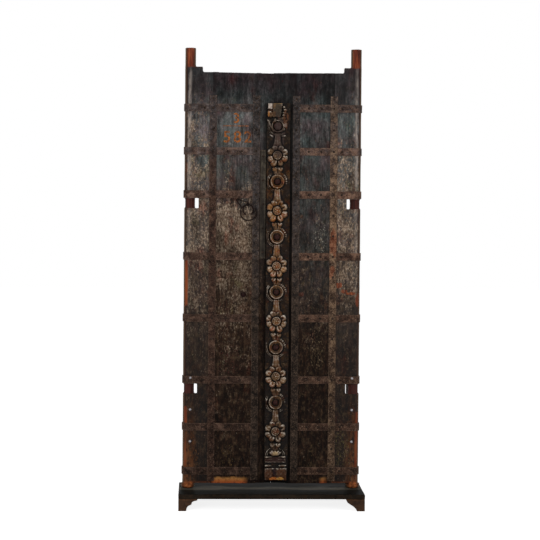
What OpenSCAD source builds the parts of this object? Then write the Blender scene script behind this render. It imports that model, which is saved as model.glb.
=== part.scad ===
// Old double-leaf pivot door, iron strapped, with a carved centre bar,
// bolted to a low black stand. Front faces -Y, Z is up, origin under the middle.

/* [Door leaves] */
// Width across both closed leaves
door_w = 850; // [790:1:910]
// Height of a leaf from its bottom edge to its top edge
leaf_h = 1964; // [1900:1:2050]
// Thickness of the planks
plank_t = 30; // [24:1:38]
// Gap between the two leaves at the middle
seam_gap = 3; // [2:0.5:6]
// Shrinkage gap between neighbouring planks
plank_gap = 0.5; // [0.4:0.1:1.6]
// How far the worn bottom edge rises towards the middle
bottom_wear = 9; // [0:1:16]
// How far the top edge of the left leaf drops towards the middle
left_top_drop = 4; // [0:1:12]
// How far the top edge of the right leaf drops towards the middle
right_top_drop = 2; // [0:1:12]
// Middle of the door to the outer plank joint, left leaf
left_outer_joint = 288; // [270:1:305]
// Middle of the door to the inner plank joint, left leaf
left_inner_joint = 81; // [76:1:110]
// Middle of the door to the outer plank joint, right leaf
right_outer_joint = 291; // [270:1:305]
// Middle of the door to the inner plank joint, right leaf
right_inner_joint = 111; // [104:1:130]

/* [Pivot stiles] */
// Diameter of the round post worked on the outer edge of each leaf
post_d = 54; // [48:1:60]
// Height of the top pivot above the leaf
top_pivot_h = 116; // [90:1:140]
// Diameter of the top pivot, worn a little below the post's own
top_pivot_d = 53; // [40:0.5:53.5]
// Diameter of the worn bottom pivot
bottom_pivot_d = 52; // [40:1:54]
// Rounding of the bottom pivot's foot
bottom_pivot_round = 9; // [4:1:14]
// Width of the small shoulder beside the top pivot
shoulder_w = 33; // [20:1:40]
// Height of the shoulder above the leaf
shoulder_h = 25; // [15:1:40]
// Depth of the stile where its back is planed flat for the upright
stile_flat_t = 46; // [42:1:50]
// Height of each notch cut through the stile
notch_h = 47; // [30:1:60]
// Diameter of the bare post left in a notch
notch_neck_d = 45; // [36:1:48]
// Clear width of the slot between the bare post and the stile
notch_slot_w = 17.5; // [12:0.5:24]
// Gap between a notch and the strap above it
notch_drop = 2; // [1:1:8]

/* [Back ledges] */
// Height of a ledge across the back
ledge_h = 72; // [50:1:90]
// Thickness of a ledge
ledge_t = 24; // [18:1:32]
// Bevel along the edges of a ledge
ledge_bevel = 6; // [2:1:10]
// Space left between a ledge's ends and the seam or the notch line
ledge_inset = 12; // [8:1:24]

/* [Iron straps] */
// Height of a level strap
strap_w = 36; // [28:1:42]
// Thickness of the strap iron
strap_t = 3; // [2:0.5:4]
// Width of an upright strap
upright_strap_w = 34; // [26:1:40]
// Length of the bend where an upright strap climbs over a level one
strap_bend = 9; // [6:1:14]
// Leaf bottom to the middle of the lowest strap
lowest_strap = 52; // [44:1:60]
// Pitch from the lowest strap to the second
bottom_pitch = 212; // [190:1:230]
// Pitch from the second strap to the third
lower_pitch = 226; // [200:1:240]
// Pitch of the three tall panels in the middle
middle_pitch = 296.5; // [270:0.5:310]
// Pitch of the two short panels at the top
upper_pitch = 207; // [190:1:220]
// How far the upright straps run above the middle of the top strap
strap_tail = 59; // [40:1:80]

/* [Nails and studs] */
// Diameter of a nail head
nail_head_d = 13; // [9:0.5:16]
// Height of a nail head
nail_head_h = 4; // [2:0.5:6]
// Diameter of a nail shank
nail_d = 5; // [3:0.5:6]
// Diameter of the left leaf's wooden stud
left_stud_d = 28; // [20:1:32]
// Diameter of the right leaf's wooden stud
right_stud_d = 24; // [18:1:30]
// Diameter of the right leaf's iron stud
iron_stud_d = 19; // [14:1:24]
// Diameter of the stem under each stud
stud_stem_d = 9; // [6:1:11]

/* [Carved centre bar] */
// Width of the carved bar
bar_w = 111; // [104:1:114]
// Middle of the bar, to the right of the seam
bar_x = 24.5; // [22:0.5:30]
// Length of the bar
bar_h = 1805; // [1770:1:1840]
// Leaf bottom to the foot of the bar
bar_foot = 11; // [9:1:20]
// Thickness of the ground that the carving stands on
bar_ground_t = 20; // [15:1:26]
// Foot of the bar to the middle of the lowest flower
lowest_flower = 236; // [230:1:245]
// Pitch of the six carved units
unit_pitch = 264; // [262:1:268]
// Height of the ringed boss above its flower
boss_rise = 139; // [134:1:144]
// Radius of the boss
boss_r = 50; // [44:1:52]
// Radius of the medallion in the flower
medal_r = 22; // [18:1:24]
// Radius of a petal's lobe
lobe_r = 15; // [12:0.5:16]
// Height of the plain block at the head of the bar
head_block_h = 46; // [40:1:52]
// Height of the faceted base block at the foot of the bar
base_block_h = 57; // [50:1:60]
// Radius of a volute above the base block
volute_r = 19; // [15:0.5:20]
// Width of the kerf cut across the ground above each flower
kerf_w = 3; // [2:0.5:5]

/* [Cover lath] */
// Width of the lath nailed beside the carved bar
lath_w = 27; // [20:1:29]
// Thickness of the lath
lath_t = 6; // [4:1:9]
// Leaf bottom to the foot of the lath
lath_foot = 1073; // [1000:1:1100]
// Length of the lath
lath_h = 520; // [420:1:560]

/* [Ring pull] */
// Middle of the door to the ring's eye
ring_x = 118; // [112:1:150]
// How far the eye hangs below the sixth strap
eye_drop = 48; // [44:1:60]
// How far the eye stands out from the planks
eye_standoff = 9.5; // [9:0.5:14]
// Radius of the eye, to the middle of its iron
eye_r = 5.6; // [5.4:0.1:7]
// Radius of the iron in the eye
eye_iron_r = 1.6; // [1.2:0.1:1.8]
// Turn of the eye away from the ring
eye_turn = 35; // [20:1:40]
// Radius of the open ring, to the middle of its iron
ring_r = 25; // [20:1:28]
// Radius of the iron in the ring
ring_iron_r = 2.2; // [1.6:0.1:2.3]
// Radius of the wire loop
loop_r = 38; // [34:1:44]
// Radius of the wire
wire_r = 1.6; // [1.2:0.1:1.8]

/* [Stand] */
// Width of the stand
stand_w = 882; // [860:1:970]
// Depth of the stand
stand_d = 300; // [240:1:360]
// Thickness of the stand's board
board_t = 23; // [18:1:30]
// Height of the bracket feet
foot_h = 56; // [40:1:70]
// Width of a foot at the floor
foot_floor_w = 37; // [28:1:50]
// Width of a foot under the board
foot_top_w = 90; // [80:1:110]
// Space between the stand and the leaves
door_gap = 32; // [24:1:40]
// Width of the uprights behind the stiles
upright_w = 30; // [26:1:34]
// Depth of the uprights
upright_d = 40; // [30:1:50]
// Height of the uprights above the board
upright_h = 580; // [570:1:640]

/* [Bolts and screws] */
// Bolt shank diameter
bolt_d = 6; // [5:0.5:8]
// Bolt head diameter
bolt_head_d = 14; // [12:0.5:15]
// Bolt head height
bolt_head_h = 4.5; // [3:0.5:6]
// Upright edge to the line of bolts
bolt_edge = 14; // [12:1:15]
// Height of the top bolt above the middle of the third strap
bolt_lift = 9; // [6:1:10]
// Pitch of the three bolts on a side
bolt_pitch = 153; // [140:1:160]
// Screw shank diameter
screw_d = 5; // [4:0.5:6]
// Screw head diameter
screw_head_d = 10; // [8:0.5:11]
// How far a screw reaches up into an upright
upright_screw_bite = 28; // [15:1:40]

/* [Fits] */
// Clearance round a shank in its hole
hole_ease = 0.2; // [0.1:0.05:0.5]
// Clearance of a strap round the post
wrap_ease = 0.1; // [0.05:0.05:0.3]

/* [Hidden] */

strap_count = 8;
ledge_straps = [1, 3, 5, 7];
notch_straps = [2, 5];
unit_count = 6;
bolt_count = 3;
screw_rows = 3;

half_w = door_w / 2;
post_r = post_d / 2;
post_x = half_w - post_r;
stand_top = foot_h + board_t;
leaf_z = stand_top + door_gap;
leaf_top = leaf_z + leaf_h;
neck_r = notch_neck_d / 2;
slot_x = post_x - neck_r - notch_slot_w;
upright_x = post_x + 6 - upright_w;
bolt_x = upright_x + bolt_edge;
ledge_end_x = slot_x - ledge_inset;
bar_z = leaf_z + bar_foot;
far = 200;

function strap_z(i) = leaf_z + lowest_strap
    + (i > 0 ? bottom_pitch : 0)
    + (i > 1 ? lower_pitch : 0)
    + middle_pitch * max(0, min(i - 2, 3))
    + upper_pitch * max(0, i - 5);
function wear(x) = bottom_wear * (1 - x / half_w);
function notch_top(i) = strap_z(i) - strap_w / 2 - notch_drop;
function bolt_z(k) = strap_z(2) + bolt_lift - k * bolt_pitch;
function flower_z(k) = bar_z + lowest_flower + k * unit_pitch;
function boss_z(k) = flower_z(k) + boss_rise;
// Nails of an upright strap stand between the crossings, two in a tall panel.
function panel(i) = strap_z(i + 1) - strap_z(i);
function panel_nails(i) = panel(i) > 1.2 * upper_pitch ? 2 : 1;
function between_z() = concat(
    [for (i = [0 : strap_count - 2]) for (k = [1 : panel_nails(i)])
        strap_z(i) + panel(i) * k / (panel_nails(i) + 1)],
    [strap_z(strap_count - 1) + strap_tail - 14]);
// A level strap's own nails: one on the stile, two on the wide plank.
function level_nails_x(outer, inner) = [
    (outer + slot_x) / 2 + 6,
    inner + (outer - inner) / 3,
    inner + (outer - inner) * 2 / 3
];

// A board standing in the XZ plane, from its outline, between two depths.
module upright_slab(outline, y_front, y_back) {
    translate([0, y_back, 0])
        rotate([90, 0, 0])
            linear_extrude(y_back - y_front)
                polygon(outline);
}

// A round bar through the door along +Y.
module along_y(d, y_front, y_back) {
    translate([0, y_front, 0])
        rotate([-90, 0, 0])
            cylinder(d = d, h = y_back - y_front, $fn = 32);
}

// A straight length of round wire with rounded ends.
module wire_run(from, to, r) {
    hull() {
        translate(from) sphere(r, $fn = 10);
        translate(to) sphere(r, $fn = 10);
    }
}

// A low dome on a flat back, facing -Y, its back at y_seat.
module dome_head(d, h, y_seat) {
    ball_r = (d * d / 4 + h * h) / (2 * h);
    translate([0, y_seat, 0])
        rotate([90, 0, 0])
            intersection() {
                cylinder(d = d, h = h, $fn = 40);
                translate([0, 0, h - ball_r]) sphere(ball_r, $fn = 64);
            }
}

// Stand

module stand_board() {
    color("#24261f")
        difference() {
            upright_slab(board_section(), -stand_d / 2, stand_d / 2);
            for (side = [-1, 1]) {
                for (x = foot_screw_xs(), y = foot_screw_ys())
                    translate([side * x, y, foot_h - 1])
                        cylinder(d = screw_d + 2 * hole_ease, h = screw_bite() + 1, $fn = 24);
                for (y = upright_screw_ys())
                    translate([side * (upright_x + upright_w / 2), y, foot_h])
                        screw_hole(board_t + 1);
            }
        }
}

// The board's ends are eased top and bottom.
function board_section() =
    let (ease = min(3, board_t / 4), x = stand_w / 2)
    [[-x + ease, foot_h], [x - ease, foot_h], [x, foot_h + ease], [x, stand_top - ease],
     [x - ease, stand_top], [-x + ease, stand_top], [-x, stand_top - ease], [-x, foot_h + ease]];
function foot_screw_xs() = [stand_w / 2 - foot_floor_w / 2];
function foot_screw_ys() = [for (k = [0 : screw_rows - 1]) (k - 1) * stand_d * 0.38];
function upright_screw_ys() = [stile_flat_t + upright_d * 0.27, stile_flat_t + upright_d * 0.73];
function screw_bite() = board_t * 0.65;
function screw_sink() = foot_h * 0.4;

// A hole for a countersunk screw driven upwards from z = 0.
module screw_hole(depth) {
    head_h = screw_head_d / 4;
    translate([0, 0, -1])
        cylinder(d = screw_d + 2 * hole_ease, h = depth + 1, $fn = 24);
    translate([0, 0, -0.01])
        cylinder(d1 = screw_head_d + 2 * hole_ease, d2 = screw_d + 2 * hole_ease,
                 h = head_h, $fn = 24);
}

module screw(length) {
    head_h = screw_head_d / 4;
    cylinder(d = screw_d, h = length, $fn = 24);
    cylinder(d1 = screw_head_d, d2 = screw_d, h = head_h, $fn = 24);
}

// Bracket foot, drawn for the right end: upright outer face, stepped ogee inside.
// fullness pushes the lower curve out, as on the fuller right-hand foot.
module bracket_foot(fullness) {
    outer = stand_w / 2 - 1;
    floor_x = outer - foot_floor_w;
    top_x = outer - foot_top_w;
    knee_x = floor_x - (foot_top_w - foot_floor_w) * 0.72;
    knee_z = foot_h * 0.78;
    difference() {
        upright_slab([[outer, 0], [outer, foot_h], [top_x, foot_h], [top_x + 4, knee_z + 4],
                      [knee_x, knee_z], [floor_x - 10 - fullness, foot_h * 0.47 - fullness],
                      [floor_x - 2 - fullness / 2, foot_h * 0.16], [floor_x, 0]],
                     -stand_d / 2 + 1, stand_d / 2 - 1);
        for (x = foot_screw_xs(), y = foot_screw_ys())
            translate([x, y, 0]) {
                translate([0, 0, -1])
                    cylinder(d = screw_head_d + 2, h = screw_sink() + 1, $fn = 32);
                cylinder(d = screw_d + 2 * hole_ease, h = foot_h + 1, $fn = 24);
            }
    }
}

module stand_foot_left() {
    color("#2e231b") mirror([1, 0, 0]) bracket_foot(0);
}

module stand_foot_right() {
    color("#2e231b") bracket_foot(3);
}

module foot_screws() {
    color("#6d6a62")
        for (side = [-1, 1], x = foot_screw_xs(), y = foot_screw_ys())
            translate([side * x, y, screw_sink() - 2]) {
                cylinder(d = screw_d, h = foot_h + screw_bite() - 1 - screw_sink() + 2, $fn = 24);
                cylinder(d = screw_head_d, h = 2, $fn = 32);
            }
}

module upright() {
    difference() {
        translate([upright_x, stile_flat_t, stand_top])
            cube([upright_w, upright_d, upright_h]);
        for (k = [0 : bolt_count - 1])
            translate([bolt_x, 0, bolt_z(k)])
                along_y(bolt_d + 2 * hole_ease, 0, far);
        for (y = upright_screw_ys())
            translate([upright_x + upright_w / 2, y, stand_top - 1])
                cylinder(d = screw_d + 2 * hole_ease, h = upright_screw_bite + 3, $fn = 24);
    }
}

module upright_left() {
    color("#1c1b1a") mirror([1, 0, 0]) upright();
}

module upright_right() {
    color("#1c1b1a") upright();
}

module upright_screws() {
    color("#6d6a62")
        for (side = [-1, 1], y = upright_screw_ys())
            translate([side * (upright_x + upright_w / 2), y, foot_h + hole_ease / 4])
                screw(board_t + upright_screw_bite);
}

module stile_bolts() {
    color("#c9ccd0")
        for (side = [-1, 1], k = [0 : bolt_count - 1])
            translate([side * bolt_x, 0, bolt_z(k)]) {
                seat = k == 0 ? -strap_t : 0;
                dome_head(bolt_head_d, bolt_head_h, seat);
                along_y(bolt_d, seat, stile_flat_t + upright_d + bolt_d * 1.6);
            }
}

// A washer and a six-sided nut on the back end of each bolt.
module bolt_nuts() {
    washer_t = 1.5;
    nut_w = bolt_d * 1.7;
    back = stile_flat_t + upright_d;
    color("#8f9398")
        for (side = [-1, 1], k = [0 : bolt_count - 1])
            translate([side * bolt_x, 0, bolt_z(k)])
                difference() {
                    union() {
                        along_y(bolt_d * 2.6, back, back + washer_t);
                        translate([0, back + washer_t, 0])
                            rotate([-90, 0, 0])
                                cylinder(d = nut_w / cos(30), h = bolt_d * 0.8, $fn = 6);
                    }
                    along_y(bolt_d + 0.1, back - 1, back + far);
                }
}

// Leaves, drawn for the right-hand side

module notch_cut(i) {
    translate([slot_x, -far / 2, notch_top(i) - notch_h])
        cube([far, far, notch_h]);
}

module stile_section(outer) {
    translate([outer + plank_gap / 2, 0])
        square([post_x - outer - plank_gap / 2, plank_t]);
    translate([post_x, post_r])
        circle(post_r, $fn = 96);
}

// The stile carries the round post, with a pivot at each end of it.
module pivot_stile(outer) {
    difference() {
        union() {
            difference() {
                union() {
                    translate([0, 0, leaf_z])
                        linear_extrude(leaf_h) stile_section(outer);
                    translate([post_x, post_r, leaf_z])
                        cylinder(d = post_d, h = leaf_h + shoulder_h, $fn = 96);
                    translate([post_x, post_r, leaf_top])
                        cylinder(d = min(top_pivot_d, post_d), h = top_pivot_h, $fn = 96);
                    translate([post_x - post_r - shoulder_w, 0, leaf_top])
                        cube([shoulder_w + post_r, plank_t, shoulder_h]);
                }
                for (i = notch_straps)
                    notch_cut(i);
            }
            for (i = notch_straps)
                translate([post_x, post_r, notch_top(i) - notch_h])
                    cylinder(r = neck_r, h = notch_h, $fn = 96);
            bottom_pivot();
        }
        translate([post_x - post_d, stile_flat_t, stand_top - 1])
            cube([2 * post_d, post_d, upright_h + 21]);
        for (k = [0 : bolt_count - 1])
            translate([bolt_x, 0, bolt_z(k)])
                along_y(bolt_d + 2 * hole_ease, -1, far);
    }
}

module bottom_pivot() {
    r = bottom_pivot_d / 2;
    translate([post_x, post_r, stand_top])
        rotate_extrude($fn = 96)
            union() {
                translate([0, bottom_pivot_round])
                    square([r, door_gap - bottom_pivot_round]);
                square([r - bottom_pivot_round, bottom_pivot_round]);
                intersection() {
                    translate([r - bottom_pivot_round, bottom_pivot_round])
                        circle(bottom_pivot_round, $fn = 48);
                    square([r, door_gap]);
                }
            }
}

// The top edge runs level over the stile and drops by drop from its joint to the middle.
function leaf_outline(x_in, x_out, outer, drop) = [
    [x_in, leaf_z + wear(x_in)], [x_out, leaf_z + wear(x_out)],
    [x_out, leaf_top - drop * (1 - x_out / outer)], [x_in, leaf_top - drop * (1 - x_in / outer)]
];

module wide_plank(outer, inner, drop) {
    upright_slab(leaf_outline(inner + plank_gap / 2, outer - plank_gap / 2, outer, drop),
                 0, plank_t);
}

module meeting_stile(outer, inner, drop) {
    upright_slab(leaf_outline(seam_gap / 2, inner - plank_gap / 2, outer, drop), 0, plank_t);
}

// A bevelled bar across the back of the planks, behind strap i.
module ledge(i) {
    edge = ledge_bevel;
    x0 = ledge_inset;
    z = strap_z(i) - ledge_h / 2;
    translate([x0, plank_t, z])
        rotate([90, 0, 90])
            linear_extrude(ledge_end_x - x0)
                polygon([[0, 0], [ledge_t - edge, 0], [ledge_t, edge], [ledge_t, ledge_h - edge],
                         [ledge_t - edge, ledge_h], [0, ledge_h]]);
}

// Iron straps

// A level strap lies on the planks and wraps round the post to the back.
module level_strap_section(inner) {
    wrap_r = post_r + wrap_ease;
    difference() {
        union() {
            translate([inner - upright_strap_w / 2, -strap_t])
                square([post_x - inner + upright_strap_w / 2, strap_t]);
            translate([post_x, post_r])
                circle(post_r + strap_t, $fn = 128);
        }
        translate([inner - upright_strap_w, 0])
            square([post_x - inner + upright_strap_w, far]);
        translate([post_x, post_r])
            circle(wrap_r, $fn = 128);
        translate([post_x, stile_flat_t])
            square([far, far]);
    }
}

module level_strap(i, outer, inner) {
    difference() {
        translate([0, 0, strap_z(i) - strap_w / 2])
            linear_extrude(strap_w) level_strap_section(inner);
        for (x = concat(level_nails_x(outer, inner), [outer, inner]))
            translate([x, 0, strap_z(i)])
                nail_hole();
        if (i == 2)
            translate([bolt_x, 0, bolt_z(0)])
                along_y(bolt_d + 2 * hole_ease, -far, 1);
    }
}

// The upright strap's back, stepping over each level strap; lift is its front.
function crossing(i, lift) =
    let (z = strap_z(i), half = strap_w / 2 + 0.5)
    [[-lift, z - half - strap_bend], [-lift - strap_t, z - half],
     [-lift - strap_t, z + half], [-lift, z + half + strap_bend]];
function strap_side(lift) = [for (i = [0 : strap_count - 1]) each crossing(i, lift)];
function turned(points) = [for (k = [len(points) - 1 : -1 : 0]) points[k]];

module upright_strap(joint) {
    foot = leaf_z + wear(joint) + 1;
    head = strap_z(strap_count - 1) + strap_tail;
    difference() {
        translate([joint - upright_strap_w / 2, 0, 0])
            rotate([90, 0, 90])
                linear_extrude(upright_strap_w)
                    polygon(concat([[0, foot]], strap_side(0), [[0, head], [-strap_t, head]],
                                   turned(strap_side(strap_t)), [[-strap_t, foot]]));
        for (z = concat(between_z(), [for (i = [0 : strap_count - 1]) strap_z(i)]))
            translate([joint, 0, z])
                nail_hole();
    }
}

module nail_hole() {
    along_y(nail_d + 2 * hole_ease, -far, 1);
}

// A domed head on a shank that fills the strap's hole, its seat at y = -seat.
module nail(seat) {
    dome_head(nail_head_d, nail_head_h, -seat);
    along_y(nail_d, -seat, 0);
}

module leaf_nails(outer, inner) {
    for (i = [0 : strap_count - 1]) {
        for (x = level_nails_x(outer, inner))
            translate([x, 0, strap_z(i)]) nail(strap_t);
        for (x = [outer, inner])
            translate([x, 0, strap_z(i)]) nail(2 * strap_t);
    }
    for (x = [outer, inner], z = between_z())
        translate([x, 0, z]) nail(strap_t);
}

// A turned stud with a stem let into the plank.
module stud(d, h) {
    dome_head(d, h, 0);
    along_y(stud_stem_d, 0, plank_t - 4);
}

module stud_hole() {
    along_y(stud_stem_d + 2 * hole_ease, -1, plank_t - 4);
}

// A stud stands beside the inner upright strap of its leaf, clear of its edge by gap.
function beside_strap(inner, d, gap) = inner + upright_strap_w / 2 + d / 2 + gap;
function left_stud_at() =
    [beside_strap(left_inner_joint, left_stud_d, 26), 0, strap_z(4) - middle_pitch * 0.617];
function right_stud_at() =
    [beside_strap(right_inner_joint, right_stud_d, 1), 0, strap_z(4) - middle_pitch * 0.61];
function iron_stud_at() =
    [beside_strap(right_inner_joint, iron_stud_d, 1.5), 0, strap_z(5) - middle_pitch * 0.35];

module left_pivot_stile() {
    color("#4a2c20") mirror([1, 0, 0]) pivot_stile(left_outer_joint);
}

module left_wide_plank() {
    color("#3d3730")
        mirror([1, 0, 0])
            difference() {
                wide_plank(left_outer_joint, left_inner_joint, left_top_drop);
                translate(left_stud_at()) stud_hole();
                translate([staple_x(), 0, eye_z()])
                    along_y(2 * (staple_r() + hole_ease), -1, far);
            }
}

module left_meeting_stile() {
    color("#3a322b") mirror([1, 0, 0])
        meeting_stile(left_outer_joint, left_inner_joint, left_top_drop);
}

module right_pivot_stile() {
    color("#4a2c20") pivot_stile(right_outer_joint);
}

module right_wide_plank() {
    color("#3d3730")
        difference() {
            wide_plank(right_outer_joint, right_inner_joint, right_top_drop);
            translate(right_stud_at()) stud_hole();
            translate(iron_stud_at()) stud_hole();
        }
}

module right_meeting_stile() {
    color("#3a322b")
        difference() {
            meeting_stile(right_outer_joint, right_inner_joint, right_top_drop);
            for (z = bar_nail_zs())
                translate([bar_nail_x(), 0, z]) along_y(nail_d + 2 * hole_ease, -1, bar_nail_bite());
        }
}

module left_ledge(k) {
    color("#4b3b2d") mirror([1, 0, 0]) ledge(ledge_straps[k - 1]);
}

module right_ledge(k) {
    color("#4b3b2d") ledge(ledge_straps[k - 1]);
}

module left_strap(k) {
    color("#33261f") mirror([1, 0, 0]) level_strap(k - 1, left_outer_joint, left_inner_joint);
}

module right_strap(k) {
    color("#33261f") level_strap(k - 1, right_outer_joint, right_inner_joint);
}

module left_outer_upright_strap() {
    color("#2f2520") mirror([1, 0, 0]) upright_strap(left_outer_joint);
}

module left_inner_upright_strap() {
    color("#2f2520") mirror([1, 0, 0]) upright_strap(left_inner_joint);
}

module right_outer_upright_strap() {
    color("#2f2520") upright_strap(right_outer_joint);
}

module right_inner_upright_strap() {
    color("#2f2520") upright_strap(right_inner_joint);
}

module left_nails() {
    color("#1f1a17")
        mirror([1, 0, 0]) {
            leaf_nails(left_outer_joint, left_inner_joint);
            for (z = lath_nail_zs())
                translate([lath_x() + lath_w / 2, 0, z])
                    nail(lath_t);
        }
}

module right_nails() {
    color("#1f1a17") leaf_nails(right_outer_joint, right_inner_joint);
}

module left_wooden_stud() {
    color("#5a4530") mirror([1, 0, 0]) translate(left_stud_at()) stud(left_stud_d, 9);
}

module right_wooden_stud() {
    color("#5a4530") translate(right_stud_at()) stud(right_stud_d, 8);
}

module right_iron_stud() {
    color("#3c2a22") translate(iron_stud_at()) stud(iron_stud_d, 6);
}

// Cover lath beside the carved bar

function lath_x() = (left_inner_joint - upright_strap_w / 2 + bar_w / 2 - bar_x - lath_w) / 2;
function lath_nail_zs() = [for (k = [0 : 4]) leaf_z + lath_foot + 30 + k * (lath_h - 60) / 4];

module left_cover_lath() {
    color("#5c5240")
        mirror([1, 0, 0])
            difference() {
                upright_slab([[lath_x(), leaf_z + lath_foot],
                              [lath_x() + lath_w, leaf_z + lath_foot],
                              [lath_x() + lath_w, leaf_z + lath_foot + lath_h],
                              [lath_x(), leaf_z + lath_foot + lath_h]], -lath_t, 0);
                for (z = lath_nail_zs())
                    translate([lath_x() + lath_w / 2, 0, z])
                        nail_hole();
            }
}

// Carved centre bar. Carving is drawn face up: X across, Y up the bar, Z proud.

round_n = 14;
bead_n = 6;

// A ringed boss: three round steps climbing to a dome.
module boss(r, dome_r) {
    rings = 2;
    pitch = (r - dome_r) / (rings + 0.5);
    rise = 5;
    rim = 7;
    steps = [for (k = [0 : rings - 1]) each [
        [r - k * pitch, rim + k * rise - 4],
        [r - (k + 0.25) * pitch, rim + k * rise + 3],
        [r - (k + 0.8) * pitch, rim + k * rise]]];
    dome = [for (a = [0 : 30 : 90]) [dome_r * cos(a), rim + rings * rise + dome_r * 0.75 * sin(a)]];
    rotate_extrude($fn = round_n)
        polygon(concat([[0, -2], [r, -2]], steps, [[dome_r + 3, rim + rings * rise - 3]], dome));
}

// The medallion: a rim, a sunk ring and a round heart.
module medallion() {
    r = medal_r;
    rotate_extrude($fn = round_n)
        polygon([[0, -2], [r, -2], [r, 19], [r * 0.86, 24], [r * 0.68, 22], [r * 0.62, 18],
                 [r * 0.5, 24], [r * 0.3, 29], [0, 31]]);
}

// One two-lobed petal pointing up, dented between its lobes.
module petal(reach, lift) {
    difference() {
        for (side = [-1, 1])
            hull() {
                translate([side * 3, medal_r * 0.7, lift * 0.6]) sphere(lobe_r * 0.5, $fn = bead_n);
                translate([side * (lobe_r + 1), reach, lift]) sphere(lobe_r, $fn = bead_n + 1);
            }
        translate([0, reach - lobe_r * 0.3, lift + lobe_r * 0.9])
            sphere(lobe_r * 0.45, $fn = bead_n);
    }
}

// A leaf tier and stem under the flower, and the flaring neck above it.
module tier_and_neck() {
    tier_z = -lobe_r * 4.5;
    stem_r = lobe_r * 0.73;
    bell_r = lobe_r * 0.8;
    neck_top = boss_rise - boss_r + 4;
    for (side = [-1, 1])
        hull() {
            translate([side * 3, tier_z + 14, 2]) sphere(bell_r * 0.67, $fn = bead_n);
            translate([side * 9, tier_z, 4]) sphere(bell_r, $fn = bead_n);
        }
    hull() {
        translate([0, tier_z - 4, 3]) sphere(stem_r, $fn = bead_n);
        translate([0, tier_z - 30, 1]) sphere(stem_r, $fn = bead_n);
    }
    for (side = [-1, 1])
        hull() {
            translate([side * 5, neck_top, 2]) sphere(bell_r * 0.83, $fn = bead_n);
            translate([side * 6, neck_top - 27, 4]) sphere(bell_r, $fn = bead_n);
            translate([side * lobe_r * 2, neck_top - 59, 2]) sphere(bell_r * 0.75, $fn = bead_n);
        }
}

module flower() {
    reach = bar_w / 2 - lobe_r - 3;
    medallion();
    rotate([0, 0, 90]) petal(reach, 7);
    rotate([0, 0, -90]) petal(reach, 7);
    rotate([0, 0, 180]) petal(reach + 4, 10);
    petal(reach, 3);
    tier_and_neck();
}

// Head block of the bar with a rolled leaf at each side.
module bar_head() {
    block_w = bar_w * 0.72;
    proud = 22;
    roll_r = 12;
    roll_z = bar_h - head_block_h - 4;
    translate([-block_w / 2, bar_h - head_block_h, -2])
        cube([block_w, head_block_h, proud + 2]);
    for (side = [-1, 1])
        hull() {
            translate([side * block_w * 0.45, roll_z - 16, 2]) sphere(roll_r, $fn = bead_n);
            translate([side * block_w * 0.3, roll_z, 2]) sphere(roll_r, $fn = bead_n);
        }
}

// One volute: a raised rim, a sunk ring and a round heart.
module volute() {
    r = volute_r;
    rotate_extrude($fn = round_n)
        polygon([[0, -2], [r, -2], [r, r * 0.52], [r * 0.84, r * 0.74], [r * 0.63, r * 0.63],
                 [r * 0.52, r * 0.42], [r * 0.32, r * 0.74], [0, r * 0.84]]);
}

// Foot of the bar: a lotus shell over two volutes and a faceted base block.
module bar_tail() {
    volute_z = base_block_h + volute_r + 10;
    lotus_z = volute_z + 26;
    lotus_r = 36;
    facet = bar_w * 0.27;
    border = 7;
    translate([0, lotus_z, 0])
        difference() {
            boss(lotus_r, lotus_r / 2);
            translate([-lotus_r - 1, -2 * lotus_r - 20, -5])
                cube([2 * lotus_r + 2, 2 * lotus_r, 60]);
        }
    for (side = [-1, 1])
        translate([side * (lotus_r - 2), volute_z, 0])
            volute();
    hull() {
        translate([-bar_w * 0.46, 1, -2])
            cube([bar_w * 0.92, base_block_h - 1, 10]);
        translate([-bar_w * 0.4, 1 + border, -2])
            cube([bar_w * 0.8, base_block_h - 1 - 2 * border, 18]);
    }
    for (side = [-1, 0, 1])
        translate([side * facet, base_block_h / 2, 0])
            rotate([0, 0, 45])
                hull() {
                    translate([0, 0, 12]) cube([facet * 0.66, facet * 0.66, 6], center = true);
                    translate([0, 0, 21]) cube([3, 3, 3], center = true);
                }
}

// A kerf at one side of the ground, beside the neck of carved unit k.
module ground_kerf(k, side) {
    run = bar_w * 0.49;
    translate([side * bar_w / 2 - run / 2, lowest_flower + k * unit_pitch + 64, -4])
        cube([run, kerf_w, 5]);
}

function bar_nail_x() = bar_x + bar_w * 0.37;
function bar_nail_zs() = [for (k = [0 : unit_count - 1]) boss_z(k) - 67];
function bar_nail_bite() = plank_t * 0.8;

module carved_bar() {
    color("#6b5334")
        difference() {
            translate([bar_x, -bar_ground_t, bar_z])
                rotate([90, 0, 0])
                    difference() {
                        union() {
                            difference() {
                                translate([-bar_w / 2, 0, -bar_ground_t])
                                    cube([bar_w, bar_h, bar_ground_t]);
                                for (k = [0 : unit_count - 1], side = [-1, 1])
                                    ground_kerf(k, side);
                            }
                            for (k = [0 : unit_count - 1])
                                translate([0, lowest_flower + k * unit_pitch, 0]) {
                                    flower();
                                    translate([0, boss_rise, 0])
                                        boss(boss_r, k == unit_count - 1 ? 22 : 15);
                                }
                            bar_head();
                            bar_tail();
                        }
                        translate([-far, -far, -far - bar_ground_t])
                            cube([2 * far, bar_h + 2 * far, far]);
                    }
            for (z = bar_nail_zs())
                translate([bar_nail_x(), 0, z]) along_y(nail_d + 2, -far, 1);
        }
}

module carved_bar_nails() {
    color("#1f1a17")
        for (z = bar_nail_zs())
            translate([bar_nail_x(), 0, z]) {
                dome_head(nail_head_d, nail_head_h, -bar_ground_t);
                along_y(nail_d, -bar_ground_t, bar_nail_bite() - 1);
            }
}

// Ring pull on the left leaf. The eye is turned so that the ring passes through it.

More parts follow.
